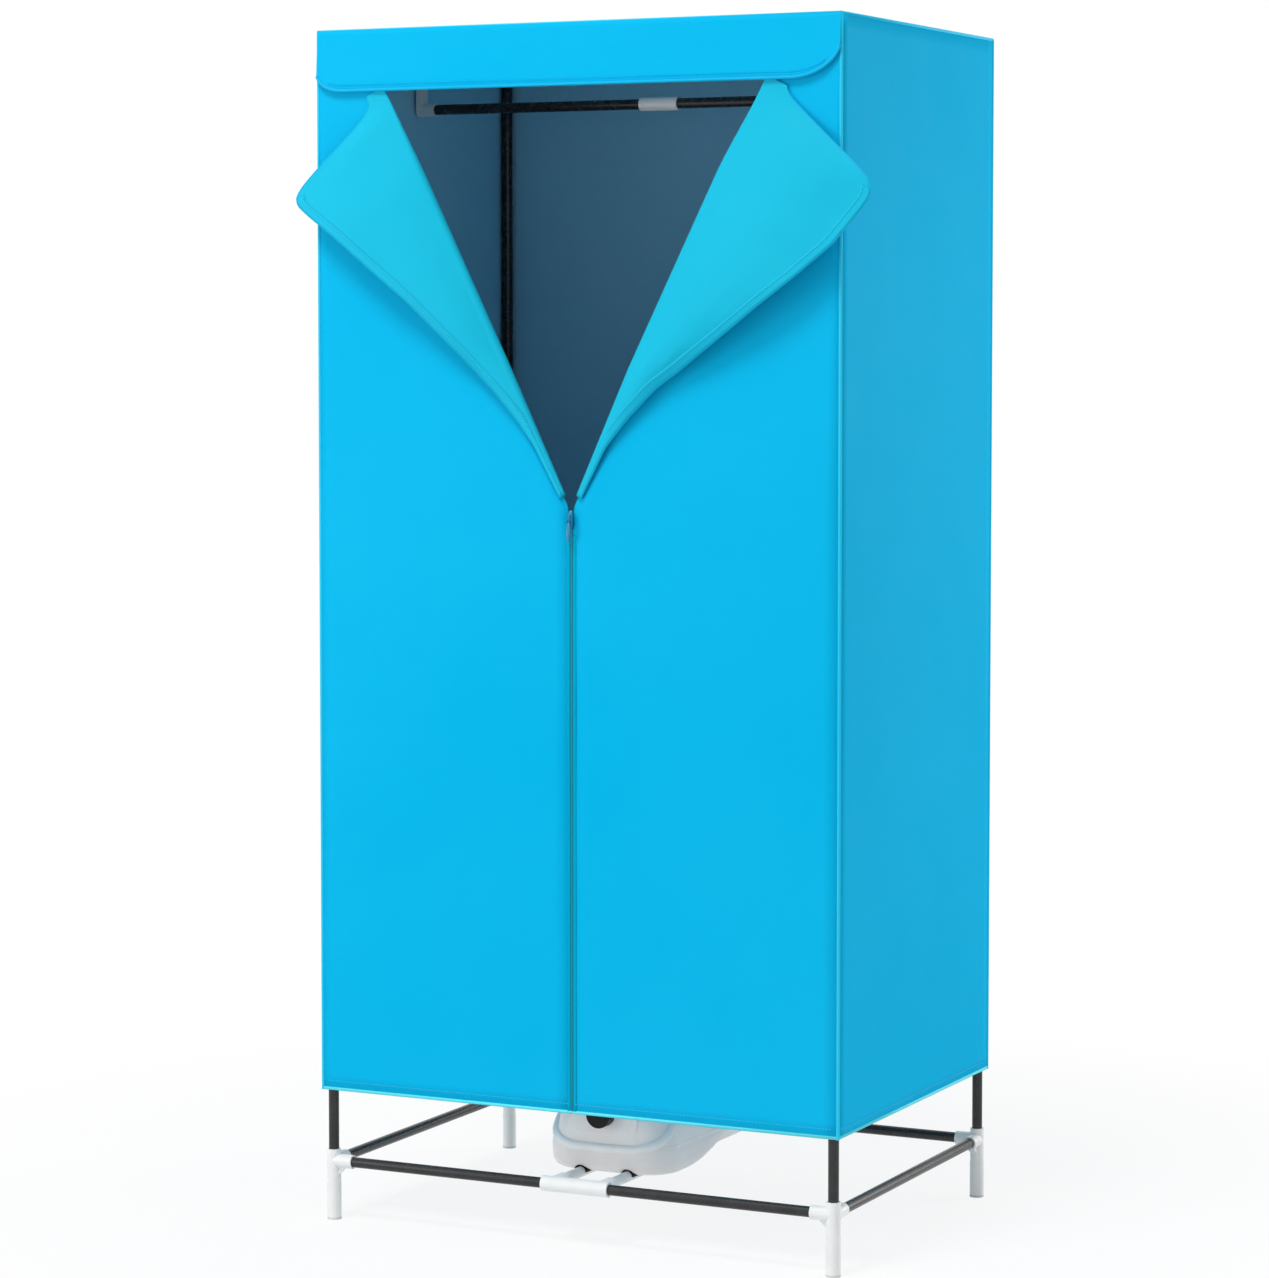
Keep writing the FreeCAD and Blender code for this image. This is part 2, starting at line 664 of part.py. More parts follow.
def header_flap():
    """Strip that hangs from the roof's front edge over the top of the door."""
    bead = size("header_bead")
    thick = size("cloth")
    belly = size("header_belly")
    half_width = size("cover_width") / 2
    axis_y = FRONT_Y - size("seat_gap") - bead
    top = size("cover_height") - bead
    low = HEADER_LOW

    def at(out, level):
        return V(-half_width, axis_y - out, level)

    mid = (top + low) / 2
    edges = [
        Part.Arc(at(-thick / 2, top), at(belly * 0.6 - thick / 2, mid), at(belly - thick / 2, low)).toShape(),
        Part.LineSegment(at(belly - thick / 2, low), at(belly + thick / 2, low)).toShape(),
        Part.Arc(at(belly + thick / 2, low), at(belly * 0.6 + thick / 2, mid), at(thick / 2, top)).toShape(),
        Part.LineSegment(at(thick / 2, top), at(-thick / 2, top)).toShape(),
    ]
    leaf = Part.Face(Part.Wire(edges)).extrude(X_AXIS * 2 * half_width)
    rod = Part.makeCylinder(bead, 2 * half_width, V(-half_width, axis_y, top), X_AXIS)
    back = FRONT_Y + thick
    high = size("cover_height") + thick
    turn = size("header_round")

    def front(x, z):
        return V(x, back, z)

    top_left, top_right = front(-half_width, high), front(half_width, high)
    low_left, low_right = front(-half_width, low), front(half_width, low)
    left = rounded_corner(top_left, low_left, low_right, turn)
    right = rounded_corner(low_left, low_right, top_right, turn)
    window_edges = [
        Part.LineSegment(top_left, left[0]).toShape(),
        Part.Arc(*left).toShape(),
        Part.LineSegment(left[2], right[0]).toShape(),
        Part.Arc(*right).toShape(),
        Part.LineSegment(right[2], top_right).toShape(),
        Part.LineSegment(top_right, top_left).toShape(),
    ]
    window = Part.Face(Part.Wire(window_edges)).extrude(Y_AXIS * -(belly + 4 * thick))
    obj = doc.addObject("Part::Feature", "header_flap")
    obj.Shape = leaf.fuse(rod).common(window).removeSplitter().Solids[0]
    keep(obj, "header_flap")


def zip_fastener():
    """Closed chain below the lapels, its slider and the pull that swings on the slider."""
    chain_top = "{fold_foot} + {bead_radius} - {hem_level}"
    corner = V(-size("chain_width") / 2, FRONT_Y - size("chain_proud"), size("hem_level"))
    chain = block("zip_chain", corner, "{chain_width}", "{chain_proud} + {cloth}", chain_top)
    keep(chain, "zip_chain")
    back = FRONT_Y - size("chain_proud") - size("seat_gap")
    low = size("fold_foot") + size("bead_radius") - size("slider_length")
    thick = size("slider_thick")
    body = block(
        "slider_body", V(-size("slider_width") / 2, back - thick, low),
        "{slider_width}", "{slider_thick}", "{slider_length}",
    )
    pin_level = low + size("slider_length") / 2
    pin_y = back - thick - size("pull_thick") - size("seat_gap")
    ears = []
    for sx in (-1, 1):
        x = sx * (size("pull_width") / 2 + size("seat_gap"))
        near = min(x, x + sx * size("ear_thick"))
        corner = V(near, pin_y - size("pull_thick"), pin_level - size("ear_tall") / 2)
        deep = "2 * {pull_thick} + {seat_gap}"
        ear = block(f"slider_ear_{sx + 1}", corner, "{ear_thick}", deep, "{ear_tall}")
        ears.append(ear)
    pin_start = V(-size("pull_width") / 2 - size("ear_thick"), pin_y, pin_level)
    pin = cylinder(
        "slider_pin", FreeCAD.Placement(pin_start, turn_to((1, 0, 0))), "{pull_pin}",
        "{pull_width} + 2 * {ear_thick}",
    )
    keep(fuse("slider_all", [body] + ears + [pin]), "zip_slider")
    tab = block(
        "pull_tab", V(-size("pull_width") / 2, pin_y - size("pull_thick"), pin_level - size("pull_length")),
        "{pull_width}", "{pull_thick}", "{pull_length}",
    )
    eye_at = FreeCAD.Placement(V(-size("pull_width") / 2, pin_y, pin_level), turn_to((1, 0, 0)))
    eye = cylinder("pull_eye", eye_at, "{pull_thick}", "{pull_width}")
    bore = cylinder("pull_bore", eye_at, "{pull_pin} + {run_clear}", "{pull_width}")
    keep(cut("pull_cut", fuse("pull_all", [tab, eye]), [bore]), "zip_pull")


# ---------------------------------------------------------------- warm-air unit


def rounded(width, depth, radius, middle_y, level):
    """Rounded rectangle about the unit's middle line."""
    x = width / 2
    y = depth / 2
    c = radius * (1 - math.sqrt(0.5))

    def p(px, py):
        return V(px, middle_y + py, level)

    edges = [
        Part.LineSegment(p(radius - x, -y), p(x - radius, -y)).toShape(),
        Part.Arc(p(x - radius, -y), p(x - c, c - y), p(x, radius - y)).toShape(),
        Part.LineSegment(p(x, radius - y), p(x, y - radius)).toShape(),
        Part.Arc(p(x, y - radius), p(x - c, y - c), p(x - radius, y)).toShape(),
        Part.LineSegment(p(x - radius, y), p(radius - x, y)).toShape(),
        Part.Arc(p(radius - x, y), p(c - x, y - c), p(-x, y - radius)).toShape(),
        Part.LineSegment(p(-x, y - radius), p(-x, radius - y)).toShape(),
        Part.Arc(p(-x, radius - y), p(c - x, c - y), p(radius - x, -y)).toShape(),
    ]
    return Part.Wire(edges)


def hull(sections):
    """Straight-sided loft through rounded rectangles given as width, depth, radius, front, level."""
    wires = []
    for width, depth, radius, front, level in sections:
        wires.append(rounded(width, depth, radius, front + depth / 2, level))
    return Part.makeLoft(wires, True, True)


def heater_sections(shrink):
    """Outer sections of the lower shell, or inner ones when shrunk by the wall."""
    width = size("heater_width") - 2 * shrink
    depth = size("heater_depth") - 2 * shrink
    face = HEATER_FACE + shrink
    radius = size("heater_round") - shrink
    keel = (
        size("keel_width") - 2 * shrink, size("keel_depth") - 2 * shrink, radius,
        face + size("keel_front"), HEATER_FLOOR + shrink,
    )
    share = 0.5
    knuckle = (
        width - (width - keel[0]) * share * 0.6, depth - (depth - keel[1]) * share, radius,
        face + size("keel_front") * 0.3, HEATER_FLOOR + (size("heater_split") - HEATER_FLOOR) * share,
    )
    split = (width, depth, radius, face, size("heater_split"))
    return keel, knuckle, split


def upper_sections(shrink):
    """Lower and upper section of the upper shell, which stands back from the lower shell's rim."""
    inset = size("shell_step") + shrink
    width = size("heater_width") - 2 * inset
    depth = size("heater_depth") - 2 * inset
    radius = size("heater_round") - inset
    taper = size("heater_taper")
    foot = (width, depth, radius, HEATER_FACE + inset, size("heater_split"))
    head = (width - taper, depth - taper, radius, HEATER_FACE + inset, size("heater_top_level") - shrink)
    return foot, head


def channel(sx, grow):
    """Space over one carrier tube and its rubber saddle, grown by a wall."""
    radius = size("tube_dia") / 2 + 2 * size("seat_gap") + size("foot_thick") + grow
    start = V(sx * size("carrier_half"), FRONT_Y, size("bar_level"))
    return Part.makeCylinder(radius, size("cover_depth"), start, Y_AXIS)


def heater_base():
    """Lower shell: a shallow hull whose rear sweeps up, with a channel over each carrier tube."""
    wall = size("heater_wall")
    keel, knuckle, _ = heater_sections(wall)
    rim = heater_sections(wall + size("shell_step"))[2]
    room = hull([keel, knuckle, rim])
    solid = hull(heater_sections(0))
    for sx in (-1, 1):
        room = room.cut(channel(sx, wall))
        solid = solid.cut(channel(sx, 0))
    solid = solid.cut(room)
    obj = doc.addObject("Part::Feature", "heater_base")
    obj.Shape = solid.Solids[0]
    keep(obj, "heater_base")


def heater_top():
    """Upper shell with outlet collar, panel recess with a raised lip, and the inlet's cut-out."""
    wall = size("heater_wall")
    solid = hull(upper_sections(0)).cut(hull(upper_sections(wall)))
    roof = size("heater_top_level")
    collar = size("collar_dia") / 2
    bore = collar - size("collar_wall")
    solid = solid.fuse(Part.makeCylinder(collar, size("collar_rise") + wall, V(0, HEATER_Y, roof - wall)))
    solid = solid.cut(Part.makeCylinder(bore, size("collar_rise") + 2 * wall, V(0, HEATER_Y, roof - wall)))
    lip = size("panel_lip")
    half = size("panel_width") / 2 + size("seat_gap")
    tall = size("panel_height") + 2 * size("seat_gap")
    low = size("panel_level") - tall / 2
    rim_corner = V(-half - lip, PANEL_FACE - lip / 2, low - lip)
    rim = Part.makeBox(2 * (half + lip), lip, tall + 2 * lip, rim_corner)
    pocket = Part.makeBox(2 * half, lip, tall, V(-half, PANEL_FACE + size("panel_thick") - lip, low))
    solid = solid.fuse(rim.common(front_room()))
    solid = solid.cut(pocket)
    shaft = size("shaft_dia") / 2 + size("seat_gap")
    hole = Part.makeCylinder(shaft, 4 * wall, V(0, PANEL_FACE - wall, size("knob_level")), Y_AXIS)
    solid = solid.cut(hole)
    solid = solid.cut(inlet_block(size("seat_gap")))
    obj = doc.addObject("Part::Feature", "heater_top")
    obj.Shape = solid.removeSplitter().Solids[0]
    keep(obj, "heater_top")


def front_room():
    """Everything in front of the inside of the upper shell's front wall."""
    reach = size("cover_width")
    return Part.makeBox(
        reach, reach, reach,
        V(-reach / 2, PANEL_FACE + size("heater_wall") - reach, size("heater_split")),
    )


def inlet_block(grow):
    """Body of the power inlet, which passes through the rear wall."""
    width = size("inlet_width") + 2 * grow
    height = size("inlet_height") + 2 * grow
    level = (size("heater_split") + size("heater_top_level")) / 2 - height / 2
    front = HEATER_REAR - size("inlet_depth")
    return Part.makeBox(width, size("inlet_depth"), height, V(-width / 2, front, level))


def power_inlet():
    """Inlet socket with three contact slots."""
    shape = inlet_block(0)
    level = (size("heater_split") + size("heater_top_level")) / 2
    slot_depth = size("inlet_depth") * 0.6
    slot_wide = size("inlet_width") / 14
    slot_tall = size("inlet_height") * 0.35
    for place, drop in ((-0.28, 0.0), (0.0, -0.2), (0.28, 0.0)):
        x = size("inlet_width") * place - slot_wide / 2
        z = level + size("inlet_height") * drop - slot_tall / 2
        shape = shape.cut(Part.makeBox(slot_wide, slot_depth, slot_tall, V(x, HEATER_REAR - slot_depth, z)))
    obj = doc.addObject("Part::Feature", "power_inlet")
    obj.Shape = shape
    keep(obj, "power_inlet")


def heater_feet():
    """Four rubber saddles between the lower shell's channels and the carrier tubes."""
    bore_rule = "{tube_dia} / 2 + {seat_gap}"
    outer_rule = bore_rule + " + {foot_thick}"
    reach = size("tube_dia") / 2 + size("seat_gap") + size("foot_thick")
    keel = HEATER_FACE + size("keel_front")
    feet = []
    for i, sx in enumerate((-1, 1)):
        for j, y in enumerate((keel - size("foot_proud"), keel + size("keel_depth") - size("foot_length"))):
            where = V(sx * size("carrier_half"), y, size("bar_level"))
            along = FreeCAD.Placement(where, turn_to((0, 1, 0)))
            name = f"foot_{i}{j}"
            outer = cylinder(name + "_outer", along, outer_rule, "{foot_length}")
            bore = cylinder(name + "_bore", along, bore_rule, "{foot_length}")
            below = block(
                name + "_below", where - V(reach, 0, reach),
                f"2 * ({outer_rule})", "{foot_length}", outer_rule,
            )
            feet.append(cut(name, outer, [bore, below]))
    group = doc.addObject("Part::Compound", "feet")
    group.Links = feet
    keep(group, "heater_feet")


def outlet_grille():
    """Slotted disc in the mouth of the collar."""
    radius = size("collar_dia") / 2 - size("collar_wall") - size("seat_gap")
    level = size("heater_top_level") + size("collar_rise") - size("grille_thick")
    here = FreeCAD.Placement(V(0, HEATER_Y, level), FreeCAD.Rotation())
    rule = "{collar_dia} / 2 - {collar_wall} - {seat_gap}"
    disc = cylinder("grille_disc", here, rule, "{grille_thick}")
    count = int(size("grille_slots"))
    pitch = 2 * (radius - size("grille_bar")) / count
    slots = []
    for i in range(count):
        y = (i + 0.5) * pitch - (radius - size("grille_bar"))
        slot_half = (pitch - size("grille_bar")) / 2
        half = math.sqrt((radius - size("grille_bar")) ** 2 - (abs(y) + slot_half) ** 2)
        corner = V(-half, HEATER_Y + y - slot_half, level)
        slot = doc.addObject("Part::Box", f"grille_slot_{i}")
        slot.Length = 2 * half
        slot.Width = 2 * slot_half
        slot.setExpression("Height", cell("{grille_thick}"))
        slot.Placement = FreeCAD.Placement(corner, FreeCAD.Rotation())
        slots.append(slot)
    keep(cut("grille_cut", disc, slots), "outlet_grille")


def control_panel():
    """Plate in the recess of the upper shell, bored for the timer's shaft."""
    corner = V(
        -size("panel_width") / 2, PANEL_FACE, size("panel_level") - size("panel_height") / 2,
    )
    face = block("panel_plate", corner, "{panel_width}", "{panel_thick}", "{panel_height}")
    here = FreeCAD.Placement(V(0, PANEL_FACE, size("knob_level")), turn_to((0, 1, 0)))
    hole = cylinder("panel_hole", here, "{shaft_dia} / 2 + {seat_gap}", "{panel_thick}")
    keep(cut("panel_cut", face, [hole]), "control_panel")


def timer():
    """Timer behind the panel, its shaft, and the knob on the shaft."""
    inside = PANEL_FACE + size("heater_wall") + size("seat_gap")
    side = size("timer_side")
    case = block(
        "timer_case", V(-side / 2, inside, size("knob_level") - side / 2),
        "{timer_side}", "{timer_depth}", "{timer_side}",
    )
    tip = PANEL_FACE - size("seat_gap") - size("shaft_grip")
    here = FreeCAD.Placement(V(0, tip, size("knob_level")), turn_to((0, 1, 0)))
    shaft = cylinder(
        "timer_shaft", here, "{shaft_dia} / 2",
        "{shaft_grip} + {heater_wall} + 2 * {seat_gap} + {timer_depth} / 2",
    )
    keep(fuse("timer_all", [case, shaft]), "timer_body")
    front = PANEL_FACE - size("seat_gap") - size("knob_height")
    face = FreeCAD.Placement(V(0, front, size("knob_level")), turn_to((0, 1, 0)))
    grip = cylinder("knob_grip", face, "{knob_dia} / 2", "{knob_height}")
    mouth = FreeCAD.Placement(V(0, tip - size("seat_gap"), size("knob_level")), turn_to((0, 1, 0)))
    bore = cylinder("knob_bore", mouth, "{shaft_dia} / 2 + {run_clear}", "{shaft_grip} + 2 * {seat_gap}")
    keep(cut("knob_cut", grip, [bore]), "timer_knob")


def fan():
    """Motor on the lower shell's floor, with a bladed wheel on its shaft."""
    floor = HEATER_FLOOR + size("heater_wall") + size("seat_gap")
    here = FreeCAD.Placement(V(0, HEATER_Y, floor), FreeCAD.Rotation())
    can = cylinder("motor_can", here, "{motor_dia} / 2", "{motor_height}")
    shaft = cylinder(
        "motor_shaft", here, "{shaft_dia} / 2", "{motor_height} + {fan_lift} + {fan_height} - {seat_gap}",
    )
    keep(fuse("motor_all", [can, shaft]), "fan_motor")
    level = floor + size("motor_height") + size("fan_lift")
    wheel_at = V(0, HEATER_Y, level)
    height = size("fan_height")
    wheel = Part.makeCylinder(size("fan_hub") / 2, height, wheel_at)
    wheel = wheel.fuse(Part.makeCylinder(size("fan_dia") / 2, size("cloth"), wheel_at))
    count = int(size("fan_blades"))
    reach = size("fan_dia") / 2 - size("cloth")
    for i in range(count):
        blade = Part.makeBox(reach, size("cloth"), height, wheel_at - Y_AXIS * size("cloth") / 2)
        blade.rotate(wheel_at, UP, 360.0 * i / count)
        wheel = wheel.fuse(blade)
    bore = size("shaft_dia") / 2 + size("run_clear")
    wheel = wheel.cut(Part.makeCylinder(bore, height, wheel_at))
    obj = doc.addObject("Part::Feature", "fan_impeller")
    obj.Shape = wheel.removeSplitter()
    keep(obj, "fan_impeller")


def heating_element():
    """Ceramic heating block under the outlet."""
    side = size("element_side")
    level = size("heater_top_level") - size("heater_wall") - size("seat_gap") - size("element_height")
    flange = block(
        "element_flange",
        V(-size("collar_dia") / 2, HEATER_Y - side / 2, level + size("element_height") - size("heater_wall")),
        "{collar_dia}", "{element_side}", "{heater_wall}",
    )
    core = block(
        "element_core", V(-side / 2, HEATER_Y - side / 2, level),
        "{element_side}", "{element_side}", "{element_height}",
    )
    keep(fuse("element_all", [core, flange]), "heating_element")


# ---------------------------------------------------------------- assembly


def check_and_write():
    """Stop on any failed object, then write one file per sub-part."""
    doc.recompute()
    for obj in doc.Objects:
        if "Invalid" in obj.State or "Error" in obj.State:
            raise RuntimeError(f"{obj.Name} failed: {obj.State}")
    os.makedirs("parts", exist_ok=True)
    for obj in nodes:
        shape = obj.Shape
        if shape.isNull() or not shape.isValid():
            raise RuntimeError(f"{obj.Label} has no valid shape")
        shape.exportStep(os.path.join("parts", obj.Label + ".step"))
    print(len(nodes), "sub-parts written")


legs()
base_corners()
top_corners()
uprights()
ring_bars()
base_middles()
carriers()
rail_brackets()
hanging_rail()
cover_panels()
cover_floor()
lapel("left", -1)
lapel("right", 1)
header_flap()
zip_fastener()
heater_base()
heater_top()
power_inlet()
heater_feet()
outlet_grille()
control_panel()
timer()
fan()
heating_element()
check_and_write()
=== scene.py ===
"""Fabric drying cabinet: cloth cover, zip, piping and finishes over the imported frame. Metres."""
import json
import math

import bpy
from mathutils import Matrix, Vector, noise


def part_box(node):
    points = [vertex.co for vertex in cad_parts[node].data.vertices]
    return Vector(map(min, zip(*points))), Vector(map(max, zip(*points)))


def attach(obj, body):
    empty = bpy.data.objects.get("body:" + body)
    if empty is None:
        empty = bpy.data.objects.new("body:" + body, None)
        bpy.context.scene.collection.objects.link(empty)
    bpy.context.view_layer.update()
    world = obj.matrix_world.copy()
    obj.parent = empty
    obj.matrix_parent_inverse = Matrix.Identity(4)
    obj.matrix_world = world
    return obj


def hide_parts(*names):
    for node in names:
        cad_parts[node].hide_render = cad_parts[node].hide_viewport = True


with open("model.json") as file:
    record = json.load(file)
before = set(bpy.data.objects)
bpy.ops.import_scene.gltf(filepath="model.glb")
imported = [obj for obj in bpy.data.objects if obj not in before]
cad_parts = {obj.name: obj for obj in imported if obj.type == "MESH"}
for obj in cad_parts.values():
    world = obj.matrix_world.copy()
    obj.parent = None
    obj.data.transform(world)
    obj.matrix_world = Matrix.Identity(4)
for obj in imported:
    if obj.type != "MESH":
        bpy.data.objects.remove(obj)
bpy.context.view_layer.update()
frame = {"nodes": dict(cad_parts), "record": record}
JOINTS = frame["record"]["behaviour"]["joints"]

# ------------------------------------------------------------------ sizes read from the frame

ROOF_LOW, ROOF_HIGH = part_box("cover_roof")
LEFT, FRONT, _ = ROOF_LOW
RIGHT, BACK, TOP = ROOF_HIGH
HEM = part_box("cover_back")[0][2]
FLOOR_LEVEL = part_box("cover_floor")[0][2]
MIDDLE_Y = (FRONT + BACK) / 2
CLOTH = 0.0012
GAP_HALF = -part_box("cover_front_left")[1][0]
HEADER_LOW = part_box("header_flap")[0][2]


def joint(name):
    """One joint of the record."""
    return next(j for j in JOINTS if j["name"] == name)


FOLD = joint("lapel_right_fold")
FOLD_UP = -Vector(FOLD["axis"])
FOLD_FOOT = Vector(FOLD["pos_m"])
FOLD_OUT = Vector((FOLD_UP.z, 0, -FOLD_UP.x))
FOLD_LEVEL = FOLD_FOOT.z
FOLD_SLOPE = FOLD_UP.x / FOLD_UP.z

# ------------------------------------------------------------------ materials

MOTTLE_STOPS = (0.3, 0.7)
WEAVE_PITCH = 0.0011
COAT_ROUGHNESS = 0.12


def shader(name, colour, roughness, **inputs):
    """Principled material; returns it with its node tree and its shader."""
    mat = bpy.data.materials.new(name)
    mat.use_nodes = True
    tree = mat.node_tree
    bsdf = tree.nodes["Principled BSDF"]
    bsdf.inputs["Base Color"].default_value = (*colour, 1)
    bsdf.inputs["Roughness"].default_value = roughness
    for key, value in inputs.items():
        bsdf.inputs[key.replace("_", " ")].default_value = value
    return mat, tree, bsdf


def node(tree, kind, **settings):
    """Add a node; settings with a known input name set that input."""
    made = tree.nodes.new(kind)
    for key, value in settings.items():
        label = key.replace("_", " ")
        if label in made.inputs:
            made.inputs[label].default_value = value
        else:
            setattr(made, key, value)
    return made


def coordinates(tree):
    """Object coordinates, which are the shared frame's metres."""
    return node(tree, "ShaderNodeTexCoord").outputs["Object"]


def mottle(tree, bsdf, colours, scale, detail=3.0):
    """Soft colour variation between two colours."""
    tex = node(tree, "ShaderNodeTexNoise", Scale=scale, Detail=detail)
    blend = node(tree, "ShaderNodeValToRGB")
    for element, position, colour in zip(blend.color_ramp.elements, MOTTLE_STOPS, colours):
        element.position = position
        element.color = (*colour, 1)
    tree.links.new(coordinates(tree), tex.inputs["Vector"])
    tree.links.new(tex.outputs["Fac"], blend.inputs["Fac"])
    tree.links.new(blend.outputs["Color"], bsdf.inputs["Base Color"])


def rough_noise(tree, bsdf, low, high, scale):
    """Roughness that varies between two values."""
    tex = node(tree, "ShaderNodeTexNoise", Scale=scale, Detail=4.0)
    span = node(tree, "ShaderNodeMapRange")
    span.inputs["To Min"].default_value = low
    span.inputs["To Max"].default_value = high
    tree.links.new(coordinates(tree), tex.inputs["Vector"])
    tree.links.new(tex.outputs["Fac"], span.inputs["Value"])
    tree.links.new(span.outputs["Result"], bsdf.inputs["Roughness"])


def weave_height(tree, pitch):
    """Plain weave: two crossed sets of threads along the frame's axes."""
    place = coordinates(tree)
    bands = []
    for direction in ("X", "Y", "Z"):
        wave = node(tree, "ShaderNodeTexWave", Scale=1 / pitch, bands_direction=direction)
        tree.links.new(place, wave.inputs["Vector"])
        bands.append(wave.outputs["Fac"])
    first = node(tree, "ShaderNodeMath", operation="MULTIPLY")
    tree.links.new(bands[0], first.inputs[0])
    tree.links.new(bands[2], first.inputs[1])
    second = node(tree, "ShaderNodeMath", operation="ADD")
    tree.links.new(first.outputs[0], second.inputs[0])
    tree.links.new(bands[1], second.inputs[1])
    return second.outputs[0]


def bump(tree, bsdf, height, strength, distance):
    """Bump from a height into the shader, after any bump that is there."""
    made = node(tree, "ShaderNodeBump", Strength=strength, Distance=distance)
    tree.links.new(height, made.inputs["Height"])
    link = next((l for l in tree.links if l.to_socket == bsdf.inputs["Normal"]), None)
    if link:
        tree.links.new(link.from_socket, made.inputs["Normal"])
    tree.links.new(made.outputs["Normal"], bsdf.inputs["Normal"])


def cloth_material(name, colours, roughness=0.5, specular=0.01):
    """Coated woven cloth with a fine weave, soft creases and a faint gloss."""
    mat, tree, bsdf = shader(name, colours[0], roughness)
    bsdf.inputs["Specular IOR Level"].default_value = specular
    mottle(tree, bsdf, colours, scale=2.2)
    rough_noise(tree, bsdf, roughness - 0.05, roughness + 0.08, 14)
    crease = node(tree, "ShaderNodeTexNoise", Scale=7.0, Detail=2.0)
    tree.links.new(coordinates(tree), crease.inputs["Vector"])
    bump(tree, bsdf, crease.outputs["Fac"], strength=0.12, distance=0.004)
    bump(tree, bsdf, weave_height(tree, WEAVE_PITCH), strength=0.10, distance=0.0003)
    return mat


def plastic_material(name, colour, roughness, depth=0.00004, coat=0.0, specular=0.5):
    """Moulded plastic with a fine grain of the given depth."""
    mat, tree, bsdf = shader(name, colour, roughness)
    bsdf.inputs["Coat Weight"].default_value = coat
    bsdf.inputs["Specular IOR Level"].default_value = specular
    bsdf.inputs["Coat Roughness"].default_value = COAT_ROUGHNESS
    darker = tuple(c * 0.94 for c in colour)
    mottle(tree, bsdf, (darker, colour), scale=26)
    rough_noise(tree, bsdf, roughness * 0.85, min(1.0, roughness * 1.2), 60)
    tex = node(tree, "ShaderNodeTexNoise", Scale=900.0, Detail=2.0)
    tree.links.new(coordinates(tree), tex.inputs["Vector"])
    bump(tree, bsdf, tex.outputs["Fac"], strength=0.25, distance=depth)
    return mat


def paint_material(name, colour, roughness, metallic=0.0, specular=0.5):
    """Satin paint on metal, with faint handling marks."""
    mat, tree, bsdf = shader(
        name, colour, roughness, Metallic=metallic, Specular_IOR_Level=specular,
    )
    lighter = tuple(min(1.0, c * 1.5 + 0.004) for c in colour)
    mottle(tree, bsdf, (colour, lighter), scale=40)
    rough_noise(tree, bsdf, roughness * 0.8, roughness * 1.25, 120)
    tex = node(tree, "ShaderNodeTexNoise", Scale=600.0, Detail=2.0)
    tree.links.new(coordinates(tree), tex.inputs["Vector"])
    bump(tree, bsdf, tex.outputs["Fac"], strength=0.08, distance=0.00002)
    return mat


COVER = cloth_material("cover_blue", ((0.002, 0.445, 0.765), (0.006, 0.470, 0.795)))
LINING = cloth_material(
    "lining_turquoise", ((0.008, 0.460, 0.67), (0.014, 0.500, 0.71)), specular=0.04,
)
INSIDE = cloth_material("inside_slate", ((0.36, 0.74, 0.95), (0.39, 0.78, 0.98)), roughness=0.6)
PIPING = cloth_material("piping_cyan", ((0.01, 0.56, 0.84), (0.03, 0.60, 0.87)), specular=0.1)
# painted highlight: the hem cord's pale cyan stands in for the glow of light along the hem
HEM_GLOW_BAND = cloth_material("hem_cyan_painted_glow", ((0.10, 0.78, 0.90), (0.14, 0.82, 0.92)), specular=0.25)
BINDING = cloth_material("binding_blue", ((0.0, 0.43, 0.74), (0.01, 0.46, 0.78)), specular=0.1)
TAPE = cloth_material("zip_tape_teal", ((0.0, 0.30, 0.42), (0.01, 0.34, 0.46)), roughness=0.6)
FACING = cloth_material("zip_facing_teal", ((0.0, 0.37, 0.56), (0.0, 0.41, 0.62)), roughness=0.6)
THREAD = plastic_material("thread_blue", (0.02, 0.56, 0.86), 0.6)
TEETH = plastic_material("zip_coil_blue", (0.0, 0.27, 0.40), 0.45)
WHITE = plastic_material("white_plastic", (0.88, 0.88, 0.87), 0.32, coat=0.25)
RUBBER = plastic_material("pad_rubber", (0.70, 0.70, 0.69), 0.8)
TUBE = paint_material("tube_black", (0.014, 0.014, 0.015), 0.26, specular=0.4)
# light grey with a warm tint; part of the warmth is painted, to offset the blue light the cover
# bounces onto the shell
SHELL = plastic_material("shell_grey", (0.93, 0.88, 0.86), 0.30, depth=0.00002, coat=0.3)
# painted highlight: the lip is a paler copy of the shell's white, standing in for the light along
# its rounded edge
LIP_PAINTED_HIGHLIGHT = plastic_material("shell_lip_painted_highlight", (0.97, 0.95, 0.94), 0.45, depth=0.00002)
BLACK = plastic_material("black_plastic", (0.006, 0.006, 0.006), 0.42, specular=0.2)
GRILLE = plastic_material("grille_grey", (0.5, 0.5, 0.5), 0.5)
PULLER = paint_material("zip_blue_enamel", (0.0, 0.16, 0.30), 0.3)
STEEL = paint_material("motor_steel", (0.45, 0.45, 0.45), 0.35, metallic=1.0)
CERAMIC = plastic_material("element_ceramic", (0.34, 0.29, 0.26), 0.8)

NODE_FINISH = {
    "leg_plastic": WHITE,
    "joint_plastic": WHITE,
    "pad_rubber": RUBBER,
    "tube_steel": TUBE,
    "shell_plastic": SHELL,
    "panel_plastic": SHELL,
    "black_plastic": BLACK,
    "fan_plastic": BLACK,
    "motor_steel": STEEL,
    "element_ceramic": CERAMIC,
    "grille_plastic": GRILLE,
    "zip_metal": PULLER,
    "zip_plastic": TEETH,
}


def finish_nodes():
    """Give every CAD node the material of its slot; the carriers are white, as in the photo."""
    slots = {s["node"]: s["material_slot"] for s in frame["record"]["subparts"]}
    for name, obj in frame["nodes"].items():
        mat = NODE_FINISH.get(slots[name], COVER)
        if name.startswith("heater_carrier"):
            mat = WHITE
        if not obj.material_slots:
            obj.data.materials.append(mat)
        for place in obj.material_slots:
            place.material = mat


# ------------------------------------------------------------------ mesh helpers


